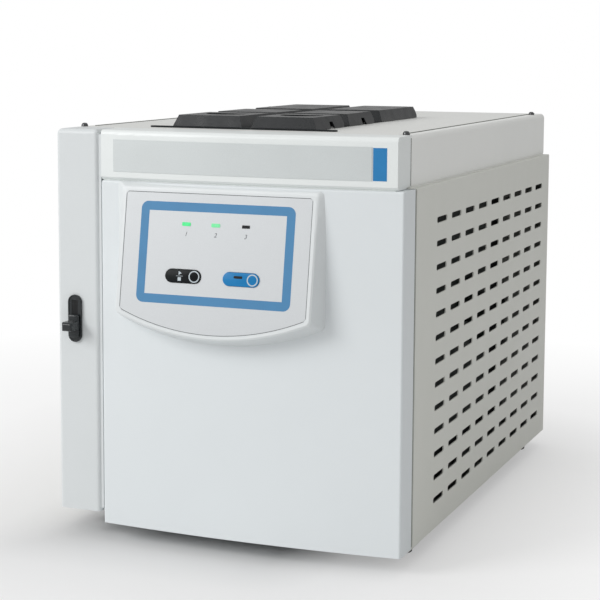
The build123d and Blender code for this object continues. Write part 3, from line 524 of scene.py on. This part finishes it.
def key_marks():
    """A triangle, a line and a square on the start key, and the dark window on the standby key."""
    at = (KEY_X["start_button"] - 4.0, up_panel(KEY_Z))
    bm = bmesh.new()
    turn = Matrix.Translation((at[0], at[1] + 3.4, 0.0)) @ Matrix.Rotation(math.radians(-90), 4, "Z")
    bmesh.ops.create_circle(bm, segments=3, radius=2.5, matrix=turn)
    outline(bm, (4.0, 4.0), (at[0], at[1] - 3.4))
    outline(bm, (8.4, 0.4), at)
    sheet_from_loops(bm, KEY_TOP - 0.05, KEY_TOP + PRINT)
    on_panel("start_marks", bm, PALE_INK, "start_key")
    at = (KEY_X["standby_button"] - 3.4, up_panel(KEY_Z) + 2.4)
    bm = sheet_from_loops(outline(bmesh.new(), (10.4, 2.9), at, 0.8, 5), KEY_TOP - 0.05, KEY_TOP + 0.1)
    on_panel("standby_window", bm, DARK_LENS, "standby_key")


def lamp_lenses():
    """Three lenses in the film: lit, lit more softly, and dark."""
    lenses = []
    for name, x, material in zip(("lamp_first", "lamp_second", "lamp_third"), LAMP_X,
                                 (MATERIALS["lamp_lens"], SOFT_LENS, DARK_LENS)):
        size = (10.6, 4.2) if name != "lamp_third" else (9.4, 3.0)
        bm = outline(bmesh.new(), size, (x, up_panel(LAMP_Z)), 0.9, 5)
        sheet_from_loops(bm, -FILM_DEPTH - 0.1, 0.25)
        lenses.append(on_panel(name, bm, material, "door"))
    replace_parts(lenses[0], "lamps")


def numerals():
    """Plain numerals 1 to 3 under the lamps."""
    height, lean, drop = 7.0, 0.25, 11.2
    for number, x in zip("123", LAMP_X):
        curve = bpy.data.curves.new("numeral_" + number, "FONT")
        curve.body = number
        curve.size = height
        curve.shear = lean
        curve.align_x = "CENTER"
        curve.align_y = "CENTER"
        curve.extrude = PRINT / 2
        holder = bpy.data.objects.new("numeral_maker", curve)
        bpy.context.scene.collection.objects.link(holder)
        bpy.context.view_layer.update()
        mesh = bpy.data.meshes.new_from_object(holder.evaluated_get(bpy.context.evaluated_depsgraph_get()))
        bpy.data.objects.remove(holder)
        bm = bmesh.new()
        bm.from_mesh(mesh)
        bmesh.ops.translate(bm, verts=bm.verts, vec=(x, up_panel(LAMP_Z - drop), -FILM_DEPTH + PRINT / 2))
        on_panel("numeral_" + number, bm, DARK_INK, "door")


# ---------------------------------------------------------------- fascia
def fascia_tab():
    """Plain blue block at the right end of the label, following the fascia's bow."""
    left, right, low, high = 184.2, 199.8, 443.9, 480.2
    bm = bmesh.new()
    bmesh.ops.create_grid(bm, x_segments=8, y_segments=2, size=1.0,
                          matrix=Matrix.Diagonal(((right - left) / 2, (high - low) / 2, 1.0, 1.0)))
    bmesh.ops.solidify(bm, geom=bm.faces[:], thickness=0.12)
    for vert in bm.verts:
        x = vert.co.x + (left + right) / 2
        vert.co = Vector((x, bow_front(x) - 0.02 - abs(vert.co.z), vert.co.y + (low + high) / 2)) * MM
    put("fascia_tab", bm, TAB_INK, "chassis")


# ---------------------------------------------------------------- turned pieces
def turned(bm, profile, at, segments=40):
    """Revolve a profile of radius and height pairs about an upright axis."""
    verts = [bm.verts.new((at[0] + radius, at[1], height)) for radius, height in profile]
    edges = [bm.edges.new(pair) for pair in zip(verts, verts[1:])]
    bmesh.ops.spin(bm, geom=verts + edges, cent=(at[0], at[1], 0.0), axis=(0.0, 0.0, 1.0),
                   angle=math.tau, steps=segments, use_merge=True)
    bmesh.ops.remove_doubles(bm, verts=bm.verts, dist=0.001)


def wire_ring(bm, major, minor, height, segments=72):
    """Round wire bent to a ring about the upright axis."""
    upright = Matrix.Translation((major, 0.0, height)) @ Matrix.Rotation(math.radians(90), 4, "X")
    made = bmesh.ops.create_circle(bm, segments=12, radius=minor, matrix=upright)
    edges = list({edge for vert in made["verts"] for edge in vert.link_edges})
    bmesh.ops.spin(bm, geom=made["verts"] + edges, cent=(0.0, 0.0, 0.0), axis=(0.0, 0.0, 1.0),
                   angle=math.tau, steps=segments, use_merge=True)
    bmesh.ops.remove_doubles(bm, verts=bm.verts, dist=0.001)


def bar(bm, start, end, radius, segments=12):
    """Round bar between two points."""
    start, end = Vector(start), Vector(end)
    along = end - start
    placed = Matrix.Translation((start + end) / 2) @ along.to_track_quat("Z", "Y").to_matrix().to_4x4()
    bmesh.ops.create_cone(bm, cap_ends=True, segments=segments, radius1=radius, radius2=radius,
                          depth=along.length, matrix=placed)


def brick(bm, low, high, edge=0.0):
    """Block between two corners, with rounded edges if edge is given."""
    low, high = Vector(low), Vector(high)
    placed = Matrix.Translation((low + high) / 2) @ Matrix.Diagonal((*(high - low), 1.0))
    made = bmesh.ops.create_cube(bm, size=1.0, matrix=placed)
    if edge:
        edges = list({e for vert in made["verts"] for e in vert.link_edges})
        bmesh.ops.bevel(bm, geom=edges, offset=edge, segments=3, profile=0.5, affect="EDGES", material=-1)


def blade(bm, reach, chord, height, thickness, turn, form):
    """Sheet blade round the upright axis; form gives the twist and sweep at a share of its reach."""
    made = bmesh.ops.create_grid(bm, x_segments=10, y_segments=8, size=0.5)
    faces = list({face for vert in made["verts"] for face in vert.link_faces})
    for vert in made["verts"]:
        share, across = vert.co.x + 0.5, vert.co.y * chord
        twist, sweep = form(share)
        radius = reach[0] + share * (reach[1] - reach[0])
        side = across * math.cos(twist) + sweep
        vert.co = (radius * math.cos(turn) - side * math.sin(turn),
                   radius * math.sin(turn) + side * math.cos(turn), height + across * math.sin(twist))
    bmesh.ops.solidify(bm, geom=faces, thickness=thickness)


def place(bm, at, lying=False):
    """Move a piece built about the upright axis, in mm, to its place; a lying one points along +Y."""
    turn = Matrix.Rotation(math.radians(-90), 4, "X") if lying else Matrix.Identity(4)
    bmesh.ops.transform(bm, matrix=Matrix.Scale(MM, 4) @ Matrix.Translation(at) @ turn, verts=bm.verts)


def joined(pieces):
    """One bmesh from several."""
    whole = bmesh.new()
    for piece in pieces:
        mesh = bpy.data.meshes.new("part")
        piece.to_mesh(mesh)
        piece.free()
        whole.from_mesh(mesh)
        bpy.data.meshes.remove(mesh)
    return whole


def standing(node, name, bm):
    """Finished piece that stands in for a CAD node."""
    piece = put(name, bm, MATERIALS[SLOTS[node]], frame["nodes"][node]["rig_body"])
    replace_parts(piece, node)


def rear_guard():
    """Finger guard of round wire."""
    low, high = (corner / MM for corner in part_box("fan_guard"))
    bm = bmesh.new()
    rings, spoke, wire = (21.6, 44.4), (20.8, 46.8), 1.0
    for major in rings:
        wire_ring(bm, major, wire, wire)
    for step in range(4):
        turn = math.radians(45 + 90 * step)
        ends = [(reach * math.cos(turn), reach * math.sin(turn), wire) for reach in spoke]
        bar(bm, ends[0], ends[1], 0.9)
    place(bm, ((low.x + high.x) / 2, low.y, (low.z + high.z) / 2), lying=True)
    standing("fan_guard", "rear_guard", bm)


def cooling_rotor():
    """Moulded hub with a blind bore and five twisted blades."""
    low, high = (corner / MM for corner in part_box("fan_guard"))
    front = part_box("cooling_fan")[0].y / MM
    bm = bmesh.new()
    hub = [(0.0, 20.0), (14.8, 20.0), (16.2, 19.4), (16.6, 18.0), (16.6, 0.0), (2.06, 0.0), (2.06, 16.5),
           (0.0, 16.5)]
    turned(bm, hub, (0.0, 0.0), 48)
    for step in range(5):
        blade(bm, (15.6, 41.0), 17.5, 10.0, 1.4, math.tau * step / 5,
              lambda share: (math.radians(36 - 16 * share), 1.5 * share**2))
    place(bm, ((low.x + high.x) / 2, front, (low.z + high.z) / 2), lying=True)
    standing("cooling_fan", "cooling_rotor", bm)


def fan_wheel():
    """Radial wheel with swept blades on a back disc, and its shaft."""
    low, high = (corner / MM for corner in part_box("oven_fan"))
    bm = bmesh.new()
    disc = [(0.0, 0.0), (14.2, 0.0), (15.2, 1.0), (15.2, 24.0), (76.6, 24.0), (77.0, 24.4), (77.0, 25.6),
            (76.6, 26.0), (4.0, 26.0), (4.0, 128.0), (0.0, 128.0)]
    turned(bm, disc, (0.0, 0.0), 72)
    for step in range(6):
        blade(bm, (14.8, 74.0), 22.6, 12.8, 1.6, math.tau * step / 6,
              lambda share: (math.radians(90), 9.0 * share**2 - 3.0))
    place(bm, ((low.x + high.x) / 2, low.y, (low.z + high.z) / 2), lying=True)
    standing("oven_fan", "fan_wheel", bm)


def heater_coils():
    """Two ring heaters of round section."""
    low, high = (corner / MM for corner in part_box("heater_rings"))
    bm = bmesh.new()
    for height in (2.0, high.y - low.y - 2.0):
        wire_ring(bm, 97.0, 1.9, height, 120)
    place(bm, ((low.x + high.x) / 2, low.y, (low.z + high.z) / 2), lying=True)
    standing("heater_rings", "heater_coils", bm)


def gas_stubs():
    """Threaded stubs with a bore, each through a chamfered hexagonal nut."""
    low, high = (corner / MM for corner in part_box("gas_inlets"))
    thread = []
    for step in range(12):
        thread += [(3.95, 6.2 + step), (3.55, 6.7 + step)]
    bore = [(0.0, 6.0), (2.4, 6.0), (2.4, 19.3), (3.3, 19.3), (3.9, 18.7)]
    stub = bore + thread[::-1] + [(3.95, 5.4), (3.95, 4.0)]
    pieces, nut_radius, nut_height, pitch = [], 7.5, 5.0, 25.0
    for step in range(3):
        nut = bmesh.new()
        bmesh.ops.create_cone(nut, cap_ends=True, segments=6, radius1=nut_radius, radius2=nut_radius,
                              depth=nut_height, matrix=Matrix.Translation((0.0, 0.0, nut_height / 2)))
        rim = [e for e in nut.edges if all(v.co.z > nut_height - 0.1 for v in e.verts)]
        bmesh.ops.bevel(nut, geom=rim, offset=0.6, segments=2, profile=0.5, affect="EDGES", material=-1)
        tube = bmesh.new()
        turned(tube, stub, (0.0, 0.0), 36)
        whole = joined([nut, tube])
        place(whole, (low.x + nut_radius + pitch * step, low.y, (low.z + high.z) / 2), lying=True)
        pieces.append(whole)
    standing("gas_inlets", "gas_stubs", joined(pieces))


def module_places(node, half):
    """x of the two modules of a node, from its box and its half width."""
    low, high = (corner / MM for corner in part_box(node))
    return low.x + half, high.x - half


def injector_bodies():
    """Turned inlets: nut in the oven, flange, heated body and septum cap with a fluted rim."""
    low, high = (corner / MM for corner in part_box("injectors"))
    middle = (low.y + high.y) / 2
    profile = [(0.0, 363.5), (1.3, 362.0), (4.2, 362.0), (4.7, 362.6), (4.7, 370.0), (7.4, 370.0),
               (7.4, 403.0), (27.4, 403.0), (28.0, 403.6), (28.0, 406.4), (27.4, 407.0), (21.2, 407.0),
               (21.2, 469.4), (20.6, 470.4), (13.6, 479.6), (12.8, 480.0), (0.0, 480.0)]
    cap = [(0.0, 480.0), (10.6, 480.0), (10.6, 498.0), (9.8, 499.0), (2.4, 499.0), (1.4, 497.2), (0.0, 497.2)]
    flutes, rim = 20, 10.6
    pieces = []
    for x in module_places("injectors", 30.0):
        bm = bmesh.new()
        turned(bm, profile, (0.0, 0.0), 56)
        turned(bm, cap, (0.0, 0.0), 40)
        for step in range(flutes):
            turn = math.tau * step / flutes
            x_out, y_out = rim * math.cos(turn), rim * math.sin(turn)
            bar(bm, (x_out, y_out, 481.0), (x_out, y_out, 497.6), 0.9, 8)
        place(bm, (x, middle, 0.0))
        pieces.append(bm)
    standing("injectors", "injector_bodies", joined(pieces))


def detector_bodies():
    """Turned base, square head with rounded edges and open chimney."""
    low, high = (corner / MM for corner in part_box("detectors"))
    middle = (low.y + high.y) / 2
    base = [(0.0, 365.5), (1.0, 364.0), (3.4, 364.0), (3.8, 364.6), (3.8, 371.0), (7.4, 371.0), (7.4, 403.0),
            (25.6, 403.0), (26.2, 403.6), (26.2, 440.0), (0.0, 440.0)]
    chimney = [(0.0, 488.0), (5.4, 488.0), (5.4, 499.6), (5.8, 500.0), (8.2, 500.0), (8.6, 499.6),
               (8.6, 484.0)]
    pieces = []
    for x in module_places("detectors", 28.0):
        bm = bmesh.new()
        turned(bm, base, (0.0, 0.0), 56)
        turned(bm, chimney, (0.0, 0.0), 40)
        brick(bm, (-22.0, -20.0, 440.0), (22.0, 20.0, 484.0), 1.6)
        place(bm, (x, middle, 0.0))
        pieces.append(bm)
    standing("detectors", "detector_bodies", joined(pieces))


def rubber_feet():
    """Four tapered feet, one at each corner of the base."""
    low, high = (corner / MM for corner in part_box("feet"))
    profile = [(0.0, 0.0), (12.6, 0.0), (13.4, 0.6), (16.2, 20.0), (16.2, 21.9), (0.0, 21.9)]
    bm, inset = bmesh.new(), 17.0
    for x in (low.x + inset, high.x - inset):
        for y in (low.y + inset, high.y - inset):
            turned(bm, profile, (x, y))
    to_metres(bm)
    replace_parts(put("rubber_feet", bm, MATERIALS["rubber_black"], "chassis"), "feet")


def dome_screws():
    """Low domed heads with a socket."""
    low, high = (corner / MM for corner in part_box("top_screws"))
    bm, inset = bmesh.new(), 4.4
    profile = [(0.0, 2.6), (1.3, 2.6), (1.3, 4.3), (2.2, 4.1), (3.1, 3.4), (3.8, 2.2), (4.1, 0.9), (4.1, 0.0)]
    for x in (low.x + inset, high.x - inset):
        for y in (low.y + inset, high.y - inset):
            turned(bm, [(r, low.z + z) for r, z in profile], (x, y), 32)
    to_metres(bm)
    screws = put("dome_screws", bm, MATERIALS["screw_black"], "chassis")
    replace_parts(screws, "top_screws")


# ---------------------------------------------------------------- strips in the gaps
def strip(name, x, y, z, material, body):
    """Straight strip between two places on each axis."""
    bm = bmesh.new()
    brick(bm, (x[0], y[0], z[0]), (x[1], y[1], z[1]))
    to_metres(bm)
    put(name, bm, material, body)


def bow_front(x):
    """y of the bowed front that the door and the fascia share."""
    edge, rise, middle, half = -330.0, 9.0, 33.5, 186.5
    radius = (half**2 + rise**2) / (2 * rise)
    return edge - rise + radius - math.sqrt(radius**2 - (x - middle) ** 2)


def fascia_seal():
    """Pale seal in the gap between the fascia and the door, following their bow."""
    left, right, back = -150.0, 209.0, -306.0
    bm = bmesh.new()
    bmesh.ops.create_grid(bm, x_segments=24, y_segments=1, size=1.0)
    for vert in bm.verts:
        x = (left + right) / 2 + vert.co.x * (right - left) / 2
        vert.co = Vector((x, bow_front(x) + 1.6 if vert.co.y < 0 else back, 433.04))
    raised = bmesh.ops.extrude_face_region(bm, geom=bm.faces[:], use_keep_orig=True)
    top = [item for item in raised["geom"] if isinstance(item, bmesh.types.BMVert)]
    bmesh.ops.translate(bm, verts=top, vec=(0.0, 0.0, 0.55))
    to_metres(bm)
    put("fascia_seal", bm, MATERIALS["fascia_plastic"], "chassis")


def gap_strips():
    """Seals that close the narrow gaps between the panels, and grey strips painted as the shade in the joints
    beside the door, along the top and at the fascia's end.
    """
    column, side, door = SLOTS["left_column"], SLOTS["right_side_panel"], SLOTS["door_skin"]
    strip("column_seal", (-154.3, -153.1), (-326.6, -325.0), (36.0, SEAL_ENDS[1]),
          MATERIALS[column], "chassis")
    # painted shade in the gap beside the door's flank
    strip("door_side_shade_line", (215.6, 218.9), (-286.8, -285.95), SEAL_ENDS, SHADE_LINE_GREY, "door")
    for name, sign in (("left", -1), ("right", 1)):
        strip(name + "_split_seal", sorted((sign * 209.4, sign * 211.5)), (-282.0, 343.0), (432.9, 435.1),
              SIDE_PAINT_LIT, "chassis")
        # painted shade of the step where the top sheet meets the side panels
        strip(name + "_top_shade_line", sorted((sign * 196.9, sign * 197.5)), (-262.0, 343.5), (491.5, 492.9),
              SHADE_LINE_GREY, "chassis")
    strip("left_panel_return", (-219.7, -211.0), (-285.6, -284.2), (SEAL_ENDS[0], 431.4),
          MATERIALS[side], "chassis")
    # painted shade in the joint between the fascia and the side panel
    strip("fascia_shade_line", (210.8, 212.0), (-286.6, -283.9), (436.0, 489.0),
          SHADE_LINE_GREY, "chassis")


def module_gap_shade():
    """Painted shade: black strips on the top sheet in the gaps between the module covers."""
    left, right = (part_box("cover_front_" + side) for side in ("left", "right"))
    mid, rear = (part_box(f"cover_{row}_left") for row in ("mid", "rear"))
    across = (left[1].x / MM + 0.3, right[0].x / MM - 0.3)
    low, high, inset, gap = 491.8, 492.3, 1.0, 0.3
    bm = bmesh.new()
    brick(bm, (across[0], left[0].y / MM + inset, low), (across[1], rear[1].y / MM - inset, high))
    for front, back in ((left, mid), (mid, rear)):
        for ends in ((left[0].x / MM + inset, across[0] - 0.2), (across[1] + 0.2, right[1].x / MM - inset)):
            brick(bm, (ends[0], front[1].y / MM + gap, low), (ends[1], back[0].y / MM - gap, high))
    to_metres(bm)
    put("module_gap_shade", bm, MATERIALS["rubber_black"], "chassis")


# ---------------------------------------------------------------- latch
def latch_trim():
    """Raised rim round the latch's plate, and rubber lips that close its slot."""
    front = -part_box("latch_housing")[0].y / MM
    top = front + 0.8
    upright = Matrix.Scale(MM, 4) @ Matrix.Rotation(math.radians(90), 4, "X")
    bm = outline(bmesh.new(), (17.6, 56.6), LATCH_MIDDLE, 8.7, 12)
    outline(bm, (14.8, 53.8), LATCH_MIDDLE, 7.3, 12)
    sheet_from_loops(bm, front - 0.3, top, bridged=True)
    round_rim(bm, top, 0.45, 3)
    bmesh.ops.transform(bm, matrix=upright, verts=bm.verts)
    put("latch_rim", bm, MATERIALS["latch_plastic"], "chassis")
    for name, ends in (("left", (-192.1, -188.1)), ("right", (-187.9, -183.9))):
        strip(name + "_slot_lip", ends, (-332.9, -332.2), (251.6, 289.4), MATERIALS["rubber_black"],
              "chassis")


def latch_slider():
    """Rounded slide that the thumb tab stands on."""
    bm = bmesh.new()
    brick(bm, (-194.8, -338.6, 244.8), (-181.2, -333.6, 272.4), 2.2)
    to_metres(bm)
    put("latch_slider", bm, MATERIALS["latch_plastic"], frame["nodes"]["latch_lever"]["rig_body"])


# ---------------------------------------------------------------- assembly
for node, obj in frame["nodes"].items():
    obj.data.materials.clear()
    obj.data.materials.append(OWN_FINISH.get(node, MATERIALS[SLOTS[node]]))

dressed("door_skin", 0.4, roll=(on_door_top, 2.4, 5))
dressed("fascia", 1.2, 3)
dressed("panel_bezel", 0.7, 3)
for node in ("left_column", "upper_side_panels"):
    dressed(node, 0.4)
for node in ("panel_overlay", "label_plate"):
    dressed(node)
for node in frame["nodes"]:
    if node.startswith("cover_") and node != "cover_ears":
        dressed(node, 0.6)
dressed("latch_housing", 0.5, 3)
dressed("latch_lever", 0.8, 3)
panel_prints()
panel_gap_shade()
key("start_button", MATERIALS[START_SLOT], PALE_INK, "start_key")
key("standby_button", MATERIALS[STANDBY_SLOT], PALE_INK, "standby_key")
key_marks()
lamp_lenses()
numerals()
fascia_tab()
fascia_seal()
gap_strips()
module_gap_shade()
latch_trim()
latch_slider()
rubber_feet()
dome_screws()
rear_guard()
cooling_rotor()
fan_wheel()
heater_coils()
gas_stubs()
injector_bodies()
detector_bodies()
dressed("right_side_panel", 0.2, roll=(at_slot_corner, 2.6, 3))
for node, edge in (("left_side_panel", 0.3), ("top_cover", 0.3), ("rear_panel", 0.3),
                   ("door_plug", 1.4), ("door_gasket", 1.2), ("door_inner_panel", 0.4), ("oven_motor", 1.0),
                   ("column_hanger", 1.0), ("cover_ears", 0.3), ("exhaust_flap", 0.3), ("power_inlet", 0.6),
                   ("switch_frame", 0.4), ("mains_switch", 0.6), ("comm_ports", 0.4), ("fan_frame", 0.6),
                   ("gas_manifold", 0.8), ("electrometers", 1.0), ("power_supply", 0.6),
                   ("front_strip", 0.4)):
    dressed(node, edge)


# ---------------------------------------------------------------- stage, light and camera
def floor():
    """White floor that keeps the object's shadow and fades to plain white far off."""
    bm = bmesh.new()
    bmesh.ops.create_grid(bm, x_segments=1, y_segments=1, size=30.0)
    mesh = bpy.data.meshes.new("floor")
    bm.to_mesh(mesh)
    bm.free()
    obj = bpy.data.objects.new("floor", mesh)
    bpy.context.scene.collection.objects.link(obj)
    material = bpy.data.materials.new("floor_white")
    material.use_nodes = True
    tree = material.node_tree
    tree.nodes.remove(tree.nodes["Principled BSDF"])
    output = tree.nodes["Material Output"]
    diffuse = tree.nodes.new("ShaderNodeBsdfDiffuse")
    diffuse.inputs["Color"].default_value = (0.8, 0.8, 0.8, 1.0)
    glow = tree.nodes.new("ShaderNodeEmission")
    glow.inputs["Strength"].default_value = 1.0
    place = tree.nodes.new("ShaderNodeTexCoord")
    centred, unsigned, beyond, outside, distance = [tree.nodes.new("ShaderNodeVectorMath") for _ in range(5)]
    centred.inputs[1].default_value = (-SHADOW_MIDDLE[0], -SHADOW_MIDDLE[1], 0.0)
    unsigned.operation = "ABSOLUTE"
    beyond.operation = "SUBTRACT"
    beyond.inputs[1].default_value = (*SHADOW_HALF, 10.0)
    outside.operation = "MAXIMUM"
    distance.operation = "LENGTH"
    fade = tree.nodes.new("ShaderNodeValToRGB")
    for stop, share in FADE:
        fade.color_ramp.elements.new(stop).color = (share, share, share, 1.0)
    path = tree.nodes.new("ShaderNodeLightPath")
    shown = tree.nodes.new("ShaderNodeMath")
    shown.operation = "MAXIMUM"
    seen = tree.nodes.new("ShaderNodeMath")
    seen.operation = "MULTIPLY"
    mix = tree.nodes.new("ShaderNodeMixShader")
    tree.links.new(place.outputs["Object"], centred.inputs[0])
    tree.links.new(centred.outputs["Vector"], unsigned.inputs[0])
    tree.links.new(unsigned.outputs["Vector"], beyond.inputs[0])
    tree.links.new(beyond.outputs["Vector"], outside.inputs[0])
    tree.links.new(outside.outputs["Vector"], distance.inputs[0])
    tree.links.new(distance.outputs["Value"], fade.inputs["Fac"])
    tree.links.new(fade.outputs["Color"], seen.inputs[0])
    tree.links.new(path.outputs["Is Camera Ray"], shown.inputs[0])
    tree.links.new(path.outputs["Is Transmission Ray"], shown.inputs[1])
    tree.links.new(shown.outputs["Value"], seen.inputs[1])
    tree.links.new(seen.outputs["Value"], mix.inputs["Fac"])
    tree.links.new(diffuse.outputs["BSDF"], mix.inputs[1])
    tree.links.new(glow.outputs["Emission"], mix.inputs[2])
    tree.links.new(mix.outputs["Shader"], output.inputs["Surface"])
    mesh.materials.append(material)


def world(strength):
    """Even light, seen as white by the camera and in metal."""
    made = bpy.data.worlds.new("studio")
    bpy.context.scene.world = made
    made.use_nodes = True
    tree = made.node_tree
    background = tree.nodes["Background"]
    background.inputs["Color"].default_value = (1.0, 1.0, 1.0, 1.0)
    path = tree.nodes.new("ShaderNodeLightPath")
    shown = tree.nodes.new("ShaderNodeMath")
    shown.operation = "MAXIMUM"
    level = tree.nodes.new("ShaderNodeMapRange")
    level.inputs["To Min"].default_value = strength
    level.inputs["To Max"].default_value = 1.0
    tree.links.new(path.outputs["Is Camera Ray"], shown.inputs[0])
    tree.links.new(path.outputs["Is Transmission Ray"], shown.inputs[1])
    tree.links.new(shown.outputs["Value"], level.inputs["Value"])
    tree.links.new(level.outputs["Result"], background.inputs["Strength"])


def lamp(name, place, target, size, power):
    """Square soft light aimed at a point."""
    light = bpy.data.lights.new(name, "AREA")
    light.size = size
    light.energy = power
    obj = bpy.data.objects.new(name, light)
    bpy.context.scene.collection.objects.link(obj)
    obj.location = place
    obj.rotation_euler = (Vector(target) - Vector(place)).to_track_quat("-Z", "Y").to_euler()


def camera():
    """The viewer's place: right of the front, a little above the top."""
    data = bpy.data.cameras.new("camera")
    data.lens = 99.3
    data.sensor_width = 36.0
    data.shift_y = -0.1083
    obj = bpy.data.objects.new("camera", data)
    bpy.context.scene.collection.objects.link(obj)
    turn = Matrix.Rotation(math.radians(CAMERA_TURN), 4, "Z")
    tip = Matrix.Rotation(math.radians(90.0 - CAMERA_DIP), 4, "X")
    roll = Matrix.Rotation(math.radians(CAMERA_ROLL), 4, "Z")
    obj.matrix_world = Matrix.Translation(CAMERA_PLACE) @ turn @ tip @ roll
    bpy.context.scene.camera = obj


floor()
world(0.54)
lamp("key", place=(-5.5, -6.0, 4.3), target=(0.0, -0.1, 0.25), size=4.2, power=425.0)
lamp("top", place=(0.2, 0.2, 2.6), target=(0.0, 0.0, 0.3), size=2.0, power=7.0)
camera()
bpy.context.scene.view_settings.view_transform = "Standard"
